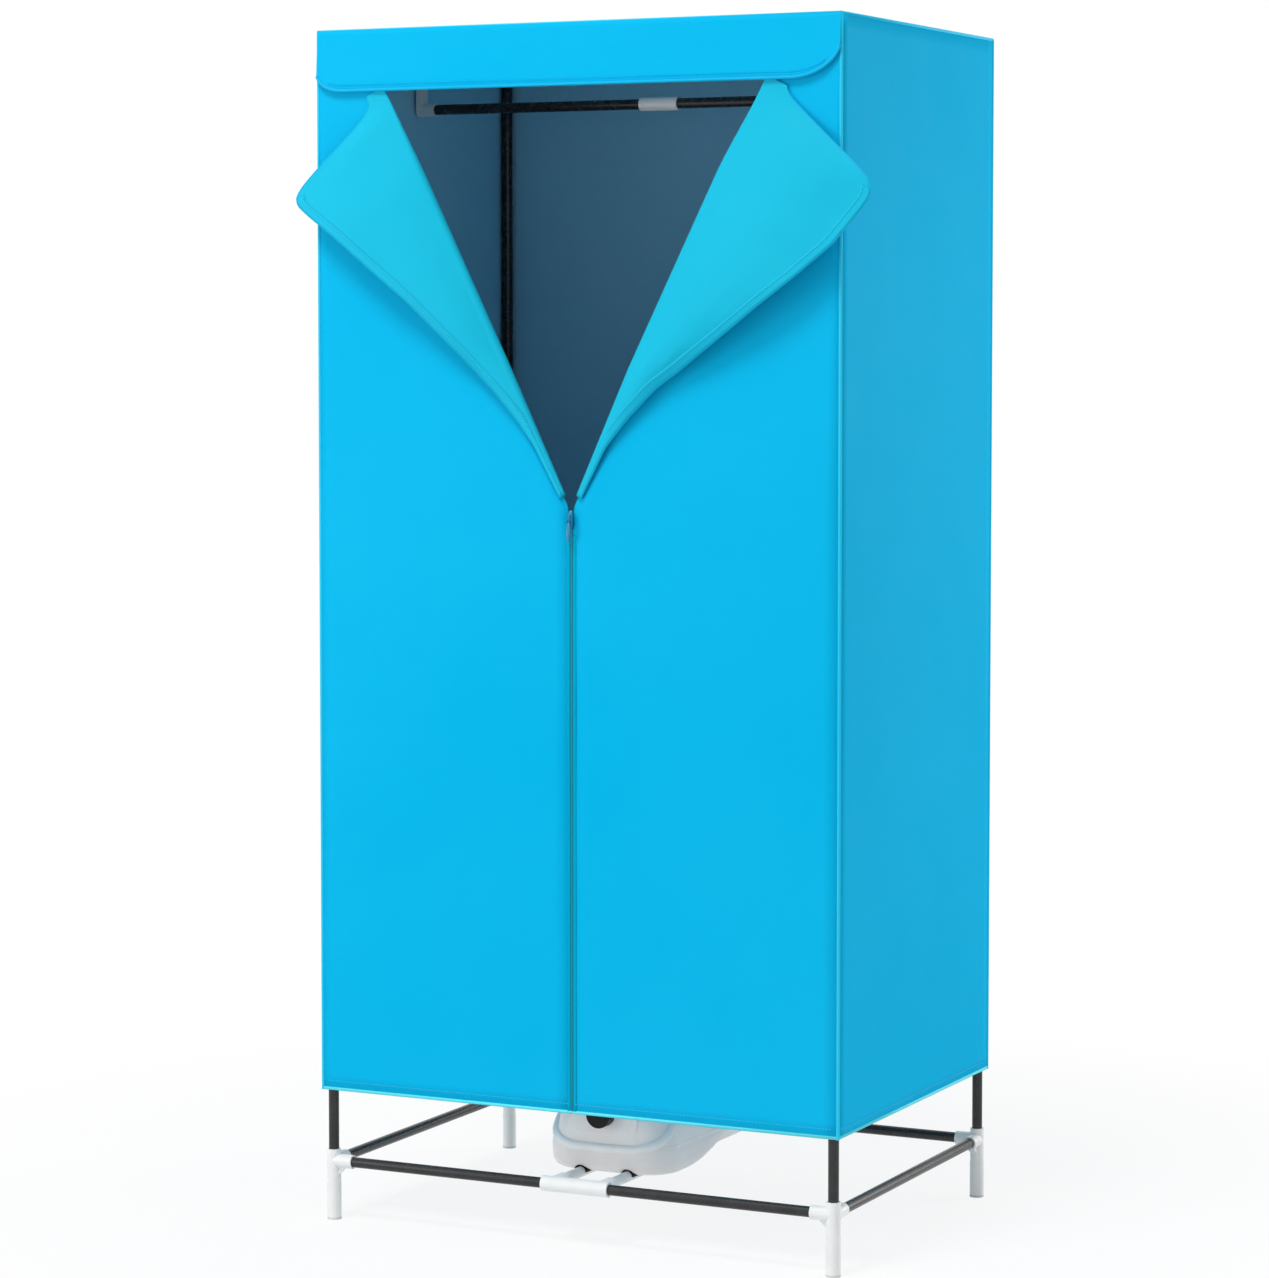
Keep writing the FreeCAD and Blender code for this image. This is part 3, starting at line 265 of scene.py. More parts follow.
def add_mesh(name, points, faces, mat, smooth=True):
    """New mesh object."""
    mesh = bpy.data.meshes.new(name)
    mesh.from_pydata([tuple(p) for p in points], [], faces)
    mesh.materials.append(mat)
    mesh.update()
    if smooth:
        mesh.shade_smooth()
    obj = bpy.data.objects.new(name, mesh)
    bpy.context.collection.objects.link(obj)
    return obj


def grid(name, across, along, place, mat, closed=False):
    """Surface from a function of two shares, each from 0 to 1."""
    points = []
    for j in range(along + 1):
        for i in range(across + 1 - closed):
            points.append(place(i / across, j / along))
    width = across if closed else across + 1
    faces = []
    for j in range(along):
        for i in range(across):
            a = j * width + i
            b = j * width + (i + 1) % width
            faces.append((a, b, b + width, a + width))
    return add_mesh(name, points, faces, mat)


def thicken(obj, thickness, offset=0.0, inner=None):
    """Give a sheet its thickness; its back takes the inner material where one is given."""
    mod = obj.modifiers.new("thickness", "SOLIDIFY")
    mod.thickness = thickness
    mod.offset = offset
    if inner:
        obj.data.materials.append(inner)
        mod.material_offset = 1
    return obj


def soften(obj, width, segments=2):
    """Round the edges a little."""
    mod = obj.modifiers.new("bevel", "BEVEL")
    mod.width = width
    mod.segments = segments
    mod.limit_method = "ANGLE"
    mod.harden_normals = False
    return obj


def cord_line(name, points, radius, mat, cyclic=False):
    """Round line through points, as a mesh tube."""
    curve = bpy.data.curves.new(name, "CURVE")
    curve.dimensions = "3D"
    curve.bevel_depth = radius
    curve.bevel_resolution = 3
    curve.use_fill_caps = True
    spline = curve.splines.new("POLY")
    spline.points.add(len(points) - 1)
    for target, p in zip(spline.points, points):
        target.co = (*p, 1)
    spline.use_cyclic_u = cyclic
    temp = bpy.data.objects.new(name + "_line", curve)
    bpy.context.collection.objects.link(temp)
    bpy.context.view_layer.update()
    graph = bpy.context.evaluated_depsgraph_get()
    mesh = bpy.data.meshes.new_from_object(temp.evaluated_get(graph))
    bpy.data.objects.remove(temp)
    mesh.name = name
    mesh.materials.clear()
    mesh.materials.append(mat)
    mesh.shade_smooth()
    obj = bpy.data.objects.new(name, mesh)
    bpy.context.collection.objects.link(obj)
    return obj


def ripple(x, z, scale, seed):
    """Smooth noise from -1 to 1."""
    return noise.noise(Vector((x * scale, seed, z * scale)))


# ------------------------------------------------------------------ cover

PANEL_PITCH = 0.02
BULGE = 0.0025
FOLD_LIFT = 0.0010
PIPING_RADIUS = 0.0021
BINDING_RADIUS = 0.0021
EDGE_RADIUS = 0.0011
HEM_STITCH_PITCH = 0.0045
HEADER_STITCH_PITCH = 0.004
LAPEL_STITCH_PITCH = 0.0042
STITCH_THICKNESS = 0.0005
OUTLET_CLEARANCE = 0.0035


def edge_fade(share):
    """0 at both ends of a panel and 1 inside."""
    return min(1.0, 9 * share, 9 * (1 - share))


def slack(s, t, seed, long_side):
    """How far a panel's cloth stands off its plane, 0 at its seams."""
    fade = edge_fade(s) * edge_fade(t)
    wide = math.sin(math.pi * s) * math.sin(math.pi * t)
    return BULGE * (0.35 * wide + fade * 0.55 * ripple(s, t * long_side, 3.1, seed))


def flat_panel(name, corner, first, second, out, seed, replaced):
    """Rectangular panel between four seams: corner plus two side vectors, slack towards out."""
    corner, first, second, out = Vector(corner), Vector(first), Vector(second), Vector(out)
    across = max(4, round(first.length / PANEL_PITCH))
    along = max(4, round(second.length / PANEL_PITCH))
    ratio = second.length / first.length

    def place(s, t):
        return corner + first * s + second * t + out * slack(s, t, seed, ratio)

    obj = thicken(grid(name, across, along, place, COVER), CLOTH, inner=INSIDE)
    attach(obj, "cabinet")
    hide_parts(replaced)
    return obj


def cover_box():
    """Roof, back and sides."""
    half = CLOTH / 2
    wide = RIGHT - LEFT
    deep = BACK - FRONT
    tall = TOP - HEM
    flat_panel(
        "cloth_roof", (LEFT, FRONT, TOP - half), (wide, 0, 0), (0, deep, 0), (0, 0, -0.4), 3.0,
        "cover_roof",
    )
    flat_panel(
        "cloth_back", (RIGHT, BACK - half, HEM), (-wide, 0, 0), (0, 0, tall), (0, 1, 0), 8.0,
        "cover_back",
    )
    flat_panel(
        "cloth_side_left", (LEFT + half, BACK, HEM), (0, -deep, 0), (0, 0, tall), (-1, 0, 0), 12.0,
        "cover_side_left",
    )
    flat_panel(
        "cloth_side_right", (RIGHT - half, FRONT, HEM), (0, deep, 0), (0, 0, tall), (1, 0, 0), 17.0,
        "cover_side_right",
    )


def fold_x(level):
    """Half width of the open front at a level."""
    return GAP_HALF + max(0.0, level - FOLD_LEVEL) * FOLD_SLOPE


def front_half(side, sx):
    """One half of the front: straight along the zip below, cut back along the fold above."""
    outer = RIGHT
    rows = round((TOP - HEM) / PANEL_PITCH)
    columns = round(outer / PANEL_PITCH)
    y = FRONT + CLOTH / 2
    seed = 20 + sx

    def place(s, t):
        # the left half runs the other way, so that its outer face stays outside
        if sx < 0:
            s = 1 - s
        level = HEM + (TOP - HEM) * t
        inner = fold_x(level)
        x = inner + (outer - inner) * s
        edge = 1 - ramp(0.0, 0.03, x - inner)
        above_zip = ramp(FOLD_LEVEL - 0.02, FOLD_LEVEL + 0.02, level)
        below_header = 1 - ramp(HEADER_LOW - 0.035, HEADER_LOW - 0.012, level)
        lift = slack(0.5 + s / 2, t, seed, 3.8) * (1 - edge * (1 - above_zip))
        lift += FOLD_LIFT * edge * above_zip * below_header
        return Vector((sx * x, y - lift, level))

    name = f"cover_front_{side}"
    obj = thicken(grid("cloth_front_" + side, columns, rows, place, COVER), CLOTH, inner=INSIDE)
    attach(obj, "cabinet")
    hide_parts(name)


def cloth_floor():
    """Floor cloth with a round hole for the outlet collar."""
    low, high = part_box("outlet_grille")
    centre = Vector(((low[0] + high[0]) / 2, (low[1] + high[1]) / 2, FLOOR_LEVEL + CLOTH / 2))
    radius = (high[0] - low[0]) / 2 + OUTLET_CLEARANCE
    x_low, x_high = LEFT + 2 * CLOTH, RIGHT - 2 * CLOTH
    y_low, y_high = FRONT + 2 * CLOTH, BACK - 2 * CLOTH

    def rim(angle):
        ray = Vector((math.cos(angle), math.sin(angle)))
        reach = []
        spans = ((ray.x, x_low, x_high, centre.x), (ray.y, y_low, y_high, centre.y))
        for part, low_edge, high_edge, mid in spans:
            if abs(part) > 1e-6:
                reach.append(((high_edge if part > 0 else low_edge) - mid) / part)
        return ray, min(reach)

    def place(s, t):
        ray, far = rim(2 * math.pi * s)
        run = radius + (far - radius) * t
        sag = 0.0016 * math.sin(math.pi * t) * ripple(ray.x * run, ray.y * run, 9.0, 40)
        return Vector((centre.x + ray.x * run, centre.y + ray.y * run, centre.z + sag))

    obj = thicken(grid("cloth_floor", 96, 20, place, INSIDE, closed=True), CLOTH)
    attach(obj, "cabinet")
    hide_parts("cover_floor")


def piping():
    """Corded seams along the edges of the cover."""
    radius = PIPING_RADIUS
    x0, x1 = LEFT + radius * 0.4, RIGHT - radius * 0.4
    y0, y1 = FRONT + radius * 0.4, BACK - radius * 0.4
    top = TOP - radius * 0.6
    loop = [(x0, y0, top), (x1, y0, top), (x1, y1, top), (x0, y1, top)]
    pieces = [cord_line("piping_roof", loop, radius, PIPING, cyclic=True)]
    names = ("front_left", "front_right", "rear_right", "rear_left")
    for name, (x, y, _) in zip(names, loop):
        pieces.append(cord_line("piping_" + name, [(x, y, HEM), (x, y, top)], radius, PIPING))
    hem = [(x, y, HEM + radius) for x, y, _ in loop]
    # the hem cord's pale cyan is a painted glow along the hem
    pieces.append(cord_line("piping_hem", hem, radius * 1.1, HEM_GLOW_BAND, cyclic=True))
    for piece in pieces:
        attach(piece, "cabinet")


def stitches(name, points, out, pitch, body, mat=THREAD):
    """Row of short stitches along a line, lying on the cloth."""
    length, thick = pitch * 0.62, STITCH_THICKNESS
    verts, faces = [], []
    runs = [(a, b, (b - a).length) for a, b in zip(points, points[1:])]
    total = sum(run for _, _, run in runs)
    count = int(total / pitch)
    for k in range(count):
        at = (k + 0.5) * pitch
        for a, b, run in runs:
            if at <= run:
                break
            at -= run
        ray = (b - a).normalized()
        mid = a + ray * at
        side = ray.cross(out).normalized() * thick
        lift = Vector(out) * thick
        base = len(verts)
        for sign in (-1, 1):
            end = mid + ray * length / 2 * sign
            verts += [end - side, end + side, end + side * 0.4 + lift, end - side * 0.4 + lift]
        for i in range(4):
            j = (i + 1) % 4
            faces.append((base + i, base + j, base + 4 + j, base + 4 + i))
        faces += [(base + 3, base + 2, base + 1, base), (base + 4, base + 5, base + 6, base + 7)]
    obj = add_mesh(name, verts, faces, mat, smooth=False)
    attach(obj, body)
    return obj


def hem_stitching():
    """One row of stitches above the hem on the front and the right and left sides."""
    level = HEM + 0.012
    lift = 0.0003
    front = Vector((0, -1, 0))
    for side, sx in (("left", -1), ("right", 1)):
        line = [Vector((sx * x, FRONT - lift, level)) for x in (0.004, 0.12, 0.24, 0.345)]
        stitches(f"stitch_hem_{side}", line, front, HEM_STITCH_PITCH, "cabinet")
        places = (FRONT + 0.005, MIDDLE_Y, BACK - 0.005)
        flank = [Vector((sx * (RIGHT + lift), y, level)) for y in places]
        stitches(f"stitch_flank_{side}", flank, Vector((sx, 0, 0)), HEM_STITCH_PITCH, "cabinet")


# ------------------------------------------------------------------ header

HEADER_ROUND = {-1: (0.036, 0.024), 1: (0.064, 0.044)}
HEADER_BELLY = 0.0045


def header_edge(x):
    """Lower edge of the header flap, with round corners, the right one larger."""
    wide, tall = HEADER_ROUND[1 if x > 0 else -1]
    over = max(0.0, abs(x) - (RIGHT - wide)) / wide
    return HEADER_LOW + tall * (1 - math.sqrt(max(0.0, 1 - over**2)))


def header_y(x, share):
    """How far in front the flap hangs, from its top edge to its lower one."""
    wave = 0.0007 * ripple(x, share, 5.0, 60)
    return FRONT - 0.0009 - HEADER_BELLY * share**1.3 + wave * share


def header():
    """Strip over the door's top edge, its binding and its stitches."""

    def place(s, t):
        lean = math.sin((s - 0.5) * math.pi)
        x = LEFT + (RIGHT - LEFT) * (0.5 + 0.5 * lean)
        x = max(LEFT + 0.0003, min(RIGHT - 0.0003, x))
        low = header_edge(x)
        level = TOP - 0.001 - (TOP - 0.001 - low) * t
        share = (TOP - level) / (TOP - HEADER_LOW)
        return Vector((x, header_y(x, share), level))

    obj = thicken(grid("header_cloth", 90, 14, place, COVER), CLOTH)
    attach(obj, "header")
    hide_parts("header_flap")
    wide, tall = RIGHT - LEFT, TOP - HEADER_LOW
    line = []
    for i in range(121):
        lean = math.sin((i / 120 - 0.5) * math.pi)
        x = max(LEFT + 0.001, min(RIGHT - 0.001, LEFT + wide * (0.5 + 0.5 * lean)))
        level = header_edge(x)
        share = (TOP - level) / tall
        line.append(Vector((x, header_y(x, share), level + 0.001)))
    edge = cord_line("header_binding", line, BINDING_RADIUS, BINDING)
    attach(edge, "header")
    seam = [p + Vector((0, -0.0009, 0.0065)) for p in line[12:-12]]
    stitches("header_stitches", seam, Vector((0, -1, 0)), HEADER_STITCH_PITCH, "header", BINDING)


# ------------------------------------------------------------------ lapels

LAPEL_TOP = (HEADER_LOW + 0.004 - FOLD_LEVEL) / FOLD_UP.z
LAPEL_CORNER = {-1: 0.503, 1: 0.514}
LAPEL_WIDTHS = {
    -1: (
        (0.0, 0.004), (0.09, 0.006), (0.125, 0.012), (0.173, 0.026),
        (0.245, 0.057), (0.325, 0.090), (0.381, 0.117), (0.446, 0.148),
        (0.480, 0.165), (0.497, 0.172), (0.507, 0.168), (0.517, 0.144),
        (0.529, 0.101), (0.543, 0.060), (0.556, 0.030), (0.580, 0.022),
    ),
    1: (
        (0.0, 0.004), (0.09, 0.008), (0.134, 0.019), (0.187, 0.036),
        (0.261, 0.071), (0.336, 0.107), (0.385, 0.133), (0.442, 0.160),
        (0.485, 0.172), (0.505, 0.177), (0.518, 0.174), (0.528, 0.156),
        (0.541, 0.108), (0.554, 0.064), (0.565, 0.030), (0.580, 0.024),
    ),
}
LAPEL_START = 0.020
LAPEL_STAND = 0.030
CORNER_STAND = 0.017
FOOT_STAND = 0.004
TOP_STAND = 0.0030
BELLY = 0.009
ROLL = 0.0062
ROLL_SHARE = 0.12
STAND_LEAN = 0.43


def ramp(low, high, value):
    """Smooth step from 0 to 1."""
    share = max(0.0, min(1.0, (value - low) / (high - low)))
    return share * share * (3 - 2 * share)


def table_value(table, at):
    """Value of a table of places and values, with straight runs between its lines."""
    for (a, wa), (b, wb) in zip(table, table[1:]):
        if at <= b:
            return wa + (wb - wa) * (max(at, a) - a) / (b - a)
    return table[-1][1]


def lapel_stand(station):
    """How far the leaf's free edge stands off the front."""
    tall = FOOT_STAND + (LAPEL_STAND - FOOT_STAND) * ramp(0.10, 0.36, station)
    tall += (CORNER_STAND - LAPEL_STAND) * ramp(0.42, 0.52, station)
    return tall - (CORNER_STAND - TOP_STAND) * ramp(0.520, 0.562, station)


def lapel_width(sx, station):
    """Width of the turned-back leaf at a station, less or more where it stands off."""
    width = sum(table_value(LAPEL_WIDTHS[sx], station + k * 0.002) for k in range(-3, 4)) / 7
    return width + sx * STAND_LEAN * lapel_stand(station) * min(1.0, width / 0.05)


def lapel_point(sx, station, share):
    """Point of the leaf: the first share goes round the roll, the rest out to the free edge."""
    width = lapel_width(sx, station)
    roll = ROLL * min(1.0, 0.25 + station / 0.25) * (1 - 0.78 * ramp(0.44, 0.56, station))
    if share < ROLL_SHARE:
        angle = math.pi * share / ROLL_SHARE
        across = -roll * math.sin(angle)
        rise = roll * (1 - math.cos(angle))
    else:
        out = (share - ROLL_SHARE) / (1 - ROLL_SHARE)
        across = width * out
        free = ramp(0.0, 0.06, width) * (1 - ramp(0.50, 0.56, station))
        belly = BELLY * math.sin(math.pi * out) * free
        tall = max(lapel_stand(station), 2 * roll)
        rise = 2 * roll + (tall - 2 * roll) * out**1.15 + belly
        rise += 0.0022 * out * free * ripple(station, out * 0.3, 7.0, 70 + sx)
        rise += 0.0009 * out * free * ripple(station, out * 0.25, 26.0, 80 + sx)
    side = Vector((sx * FOLD_OUT.x, 0, FOLD_OUT.z))
    up = Vector((sx * FOLD_UP.x, 0, FOLD_UP.z))
    foot = Vector((sx * FOLD_FOOT.x, FOLD_FOOT.y, FOLD_FOOT.z))
    return foot + up * station + side * across + Vector((0, -rise, 0))


def lapel(side, sx):
    """Turned-back corner of the door, its zip tape, coil and stitches."""
    start = LAPEL_START
    corner = LAPEL_CORNER[sx]

    def place(s, t):
        station = start + (LAPEL_TOP - start) * (1 - (1 - t) ** 1.7)
        return lapel_point(sx, station, s)

    body = "lapel_" + side
    obj = thicken(grid("cloth_" + body, 44, 130, place, LINING), CLOTH)
    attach(obj, body)
    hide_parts(body)
    rim = [lapel_point(sx, start + (corner - start) * i / 90, 1.0) for i in range(91)]
    coil = cord_line(f"zip_coil_{side}", rim, EDGE_RADIUS, BINDING)
    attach(coil, body)
    head = [lapel_point(sx, corner + (LAPEL_TOP - corner) * i / 36, 1.0) for i in range(37)]
    bound = cord_line(f"lapel_binding_{side}", head, EDGE_RADIUS, BINDING)
    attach(bound, body)

    def tape(s, t):
        station = start + (corner - start) * t
        width = max(lapel_width(sx, station), 0.004)
        share = 1.0 - s * min(0.8, 0.011 / width)
        return lapel_point(sx, station, share) + Vector((0, -0.0010, 0))

    strip = thicken(grid(f"zip_tape_{side}", 4, 90, tape, LINING), 0.0005)
    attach(strip, body)
    seam = []
    for i in range(16, 91):
        station = start + (corner - start) * i / 90
        share = 1.0 - min(0.8, 0.009 / max(lapel_width(sx, station), 0.004))
        seam.append(lapel_point(sx, station, share) + Vector((0, -0.0016, 0)))
    stitches(f"lapel_stitches_{side}", seam, Vector((0, -1, 0)), LAPEL_STITCH_PITCH, body)


# ------------------------------------------------------------------ zip

TOOTH_PITCH = 0.0022
FACING_INNER = 0.0020
FACING_WIDTH = 0.0042
SLIDER_HALF = 0.0045
SLIDER_DEPTH = 0.004
# distance from the back as a share of the depth, and the ring's width and height there
SLIDER_RINGS = ((0.0, 0.92, 0.92), (0.5, 1.0, 1.0), (1.0, 0.80, 0.58))


def zip_chain():
    """Closed coil zip between the front halves, with its tape and a facing band on either side."""
    low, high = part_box("zip_chain")
    count = int((high[2] - low[2]) / TOOTH_PITCH)
    verts, faces = [], []
    for k in range(count):
        z = low[2] + (k + 0.5) * (high[2] - low[2]) / count
        sx = 1 if k % 2 else -1
        x0, x1 = sorted((sx * 0.0017, -sx * 0.0004))
        y0, y1 = low[1], low[1] + 0.001
        z0, z1 = z - 0.0009, z + 0.0009
        base = len(verts)
        verts += [(x, y, w) for w in (z0, z1) for x, y in ((x0, y1), (x0, y0), (x1, y0), (x1, y1))]
        for i in range(4):
            j = (i + 1) % 4
            faces.append((base + i, base + j, base + 4 + j, base + 4 + i))
        faces += [(base + 3, base + 2, base + 1, base), (base + 4, base + 5, base + 6, base + 7)]
    teeth = add_mesh("zip_teeth", verts, faces, TEETH, smooth=False)
    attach(teeth, "cabinet")
    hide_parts("zip_chain")

    def tape(s, t):
        return Vector((-0.0022 + 0.0044 * s, FRONT + 0.0008, low[2] + (high[2] - low[2]) * t))

    back = thicken(grid("zip_backing", 2, 60, tape, TAPE), 0.0006)
    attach(back, "cabinet")

    def flap(s, t):
        x = FACING_INNER + FACING_WIDTH * s
        y = FRONT - 0.0002 - 0.0002 * math.sin(math.pi * s)
        return Vector((x, y, low[2] + 0.001 + (high[2] - low[2] - 0.03) * t))

    for side, sx in (("left", -1), ("right", 1)):
        def facing(s, t, sx=sx):
            p = flap(s, t)
            return Vector((sx * p.x, p.y, p.z))

        band = thicken(grid(f"zip_facing_{side}", 3, 60, facing, FACING), 0.0004)
        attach(band, "cabinet")


def slider():
    """Zip slider: waisted body with a bridge; the pull is a ring-ended tab on it."""
    low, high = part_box("zip_slider")
    mid_z = (low[2] + high[2]) / 2
    tall = high[2] - low[2]
    y_back = high[1]
    deep = SLIDER_DEPTH
    outline = []
    steps = 28
    for i in range(steps):
        a = 2 * math.pi * i / steps
        waist = 1 - 0.22 * math.cos(a) ** 2
        outline.append((SLIDER_HALF * math.cos(a) * waist, mid_z + tall / 2 * math.sin(a)))
    verts = []
    for out, wide, high_share in SLIDER_RINGS:
        y = y_back - deep * out
        verts += [(x * wide, y, mid_z + (z - mid_z) * high_share) for x, z in outline]
    faces = []
    for ring in range(2):
        for i in range(steps):
            j = (i + 1) % steps
            a, b = ring * steps + i, ring * steps + j
            faces.append((a, b, b + steps, a + steps))
    faces.append(tuple(range(steps - 1, -1, -1)))
    faces.append(tuple(range(2 * steps, 3 * steps)))
    body = soften(add_mesh("slider_body", verts, faces, PULLER), 0.0006)
    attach(body, "slider")
    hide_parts("zip_slider")
    pin = joint("pull_swing")["pos_m"]
    arch = []
    for i in range(13):
        a = math.pi * i / 12
        arch.append((0, y_back - deep - 0.0028 * math.sin(a), pin[2] + 0.0050 * math.cos(a)))
    bridge = cord_line("slider_bridge", arch, 0.0010, PULLER)
    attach(bridge, "slider")
    length = pin[2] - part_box("zip_pull")[0][2]
    y = pin[1] - 0.0008
    outer, inner = [], []
    for i in range(32):
        a = 2 * math.pi * i / 32
        z = pin[2] - length / 2 + (length / 2) * math.sin(a)
        x = (0.0025 - 0.0006 * math.sin(a)) * math.cos(a)
        outer.append((x, z))
    for i in range(32):
        a = 2 * math.pi * i / 32
        inner.append((0.0011 * math.cos(a), pin[2] - 0.0005 + 0.0026 * math.sin(a)))
    verts, faces = [], []
    for depth in (-0.0007, 0.0007):
        verts += [(x, y + depth, z) for x, z in outer]
        verts += [(x, y + depth, min(z, pin[2] + 0.0015)) for x, z in inner]
    for i in range(32):
        j = (i + 1) % 32
        faces.append((i, j, j + 64, i + 64))
        faces.append((32 + j, 32 + i, 96 + i, 96 + j))
        faces.append((j, i, 32 + i, 32 + j))
        faces.append((64 + i, 64 + j, 96 + j, 96 + i))
    tab = soften(add_mesh("pull_tab", verts, faces, PULLER), 0.0003)
    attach(tab, "pull")
    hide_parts("zip_pull")


# ------------------------------------------------------------------ warm-air unit

BASE_LOW, BASE_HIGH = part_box("heater_base")
TOP_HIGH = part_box("heater_top")[1]
HULL_ROUND = 0.045
HULL_RECESS = 0.0028
CHANNEL_X = sum(end[0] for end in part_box("heater_carrier_right")) / 2
CHANNEL_RADIUS = 0.0092
CHANNEL_AXIS = 0.0740
# level, and the half width there as a share of the widest
HULL_SIDES = (
    (0.074, 1.0), (0.105, 1.0), (0.120, 0.965), (0.140, 0.90),
    (0.160, 0.81), (0.180, 0.755), (0.2, 0.74),
)
# share of the way up the rounded underside, scale of the outline there, and its level
HULL_UNDER = (
    (0.0, 0.0, 0.0745), (0.5, 0.84, 0.0745), (0.60, 0.915, 0.0757), (0.70, 0.962, 0.0790),
    (0.80, 0.988, 0.0850), (0.90, 0.999, 0.0950), (1.0, 1.0, 0.1120),
)
UNDER_STEPS = 46
# run round the hull from the middle of its front, and the lip's level there
LIP_RISE = (
    (0.0, 0.1065), (0.042, 0.1070), (0.062, 0.1110), (0.080, 0.1170), (0.098, 0.1270),
    (0.112, 0.1400), (0.122, 0.1580), (0.130, 0.1800), (0.140, 0.2000),
)
LIP_RUN = 0.126
LIP_INSET = 0.0030
LIP_RADIUS = 0.0060
NO_RUN = 1.0


def hull_ring(level, inset=0.0):
    """Outline of the hull at a level, anticlockwise from above, with its runs."""
    half = BASE_HIGH[0] * table_value(HULL_SIDES, level)
    y0, y1 = BASE_LOW[1], BASE_HIGH[1]
    if level > BASE_HIGH[2]:
        y1 += (TOP_HIGH[1] - BASE_HIGH[1]) * min(1.0, (level - BASE_HIGH[2]) / 0.02)
    r = HULL_ROUND
    ring, runs = [], []
    corners = ((1, -1, -90), (1, 1, 0), (-1, 1, 90), (-1, -1, 180))
    base_half = BASE_HIGH[0] - r
    for index, (sx, sy, turn) in enumerate(corners):
        cx = sx * (half - r)
        cy = y0 + r if sy < 0 else y1 - r
        for i in range(25):
            angle = math.radians(turn + 90 * i / 24)
            cos, sin = math.cos(angle), math.sin(angle)
            ring.append([cx + r * cos, cy + r * sin, cos, sin])
            if sy < 0:
                share = i / 24 if sx > 0 else 1 - i / 24
                runs.append(base_half + r * math.pi / 2 * share)
            else:
                runs.append(NO_RUN)
        after = corners[(index + 1) % 4]
        count = 22 if index % 2 else 30
        end = ring[-1]
        nx = after[0] * (half - r)
        ny = y0 + r if after[1] < 0 else y1 - r
        angle = math.radians(after[2])
        goal = (nx + r * math.cos(angle), ny + r * math.sin(angle))
        for i in range(1, count):
            share = i / count
            x = end[0] + (goal[0] - end[0]) * share
            y = end[1] + (goal[1] - end[1]) * share
            ring.append([x, y, end[2], end[3]])
            if index == 3:
                runs.append(abs(x))
            elif index in (0, 2):
                runs.append(base_half + r * math.pi / 2 + abs(y - (y0 + r)))
            else:
                runs.append(NO_RUN)
    return [(x - nx * inset, y - ny * inset, run) for (x, y, nx, ny), run in zip(ring, runs)]


def hull_surface(level):
    """Ring of the hull at a level, with the panel's recess behind the lip."""
    points = []
    for (x, y, run), (xi, yi, _) in zip(hull_ring(level), hull_ring(level, HULL_RECESS)):
        depth = ramp(-0.0006, 0.0022, level - table_value(LIP_RISE, min(run, 0.14)))
        if run > 0.135:
            depth = 0.0
        seam = 0.0006 if abs(level - BASE_HIGH[2]) < 0.0004 else 0.0
        depth = max(depth, seam / HULL_RECESS)
        points.append((x + (xi - x) * depth, y + (yi - y) * depth, level))
    return points


def close_rings(name, rings, mat, cap=False, foot=False):
    """Surface through rings of equal length, closed at its last ring or at its first."""
    width = len(rings[0])
    verts = [p for ring in rings for p in ring]
    faces = []
    for j in range(len(rings) - 1):
        for i in range(width):
            k = (i + 1) % width
            faces.append((j * width + i, j * width + k, (j + 1) * width + k, (j + 1) * width + i))
    if cap:
        faces.append(tuple((len(rings) - 1) * width + i for i in range(width)))
    if foot:
        faces.append(tuple(range(width - 1, -1, -1)))
    return add_mesh(name, verts, faces, mat)


def heater_shells():
    """Lower hull with the channels over its carriers, and upper hull."""
    centre_y = (BASE_LOW[1] + BASE_HIGH[1]) / 2
    rings = []
    for j in range(1, UNDER_STEPS + 1):
        t = j / UNDER_STEPS
        scale = table_value([(a, b) for a, b, _ in HULL_UNDER], t)
        level = table_value([(a, c) for a, _, c in HULL_UNDER], t)
        ring = []
        for x, y, z in hull_surface(level):
            px, py = x * scale, centre_y + (y - centre_y) * scale
            back = ramp(-0.07, BASE_HIGH[1] + 0.01, py)
            lifted = z + (BASE_HIGH[2] - z) * 0.97 * back
            away = abs(abs(px) - CHANNEL_X)
            if away < CHANNEL_RADIUS:
                arch = CHANNEL_AXIS + math.sqrt(CHANNEL_RADIUS**2 - away**2)
                lifted = max(lifted, arch)
            ring.append((px, py, lifted))
        rings.append(ring)
    lower = close_rings("heater_shell_lower", rings, SHELL, foot=True)
    top = TOP_HIGH[2]
    levels = [0.1121, 0.1125, 0.1134]
    levels += [0.1150 + 0.0025 * i for i in range(31)]
    levels += [top - 0.004, top - 0.0012]
    rings = [hull_surface(level) for level in levels]
    rings.append([(x, y, top) for x, y, _ in hull_ring(top, 0.006)])
    upper = close_rings("heater_shell_upper", rings, SHELL, cap=True)
    for piece, replaced in ((lower, "heater_base"), (upper, "heater_top")):
        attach(piece, "cabinet")
        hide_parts(replaced)


def panel_plate():
    """Control panel: a plate with round corners and an edge that falls back."""
    low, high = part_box("control_panel")
    middle = (Vector(low) + Vector(high)) / 2
    half_x, half_z = (high[0] - low[0]) / 2, (high[2] - low[2]) / 2

    def plate(s, t):
        angle = 2 * math.pi * s
        cos, sin = math.cos(angle), math.sin(angle)
        reach = (abs(cos) ** 4 + abs(sin) ** 4) ** -0.25
        x, z = half_x * cos * reach * t, half_z * sin * reach * t
        fall = 0.0016 * max(0.0, t - 0.9) / 0.1
        return Vector((middle.x + x, low[1] - 0.0003 + fall, middle.z + z))

    face = grid("panel_plate", 72, 14, plate, SHELL, closed=True)
    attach(face, "cabinet")
    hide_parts("control_panel")


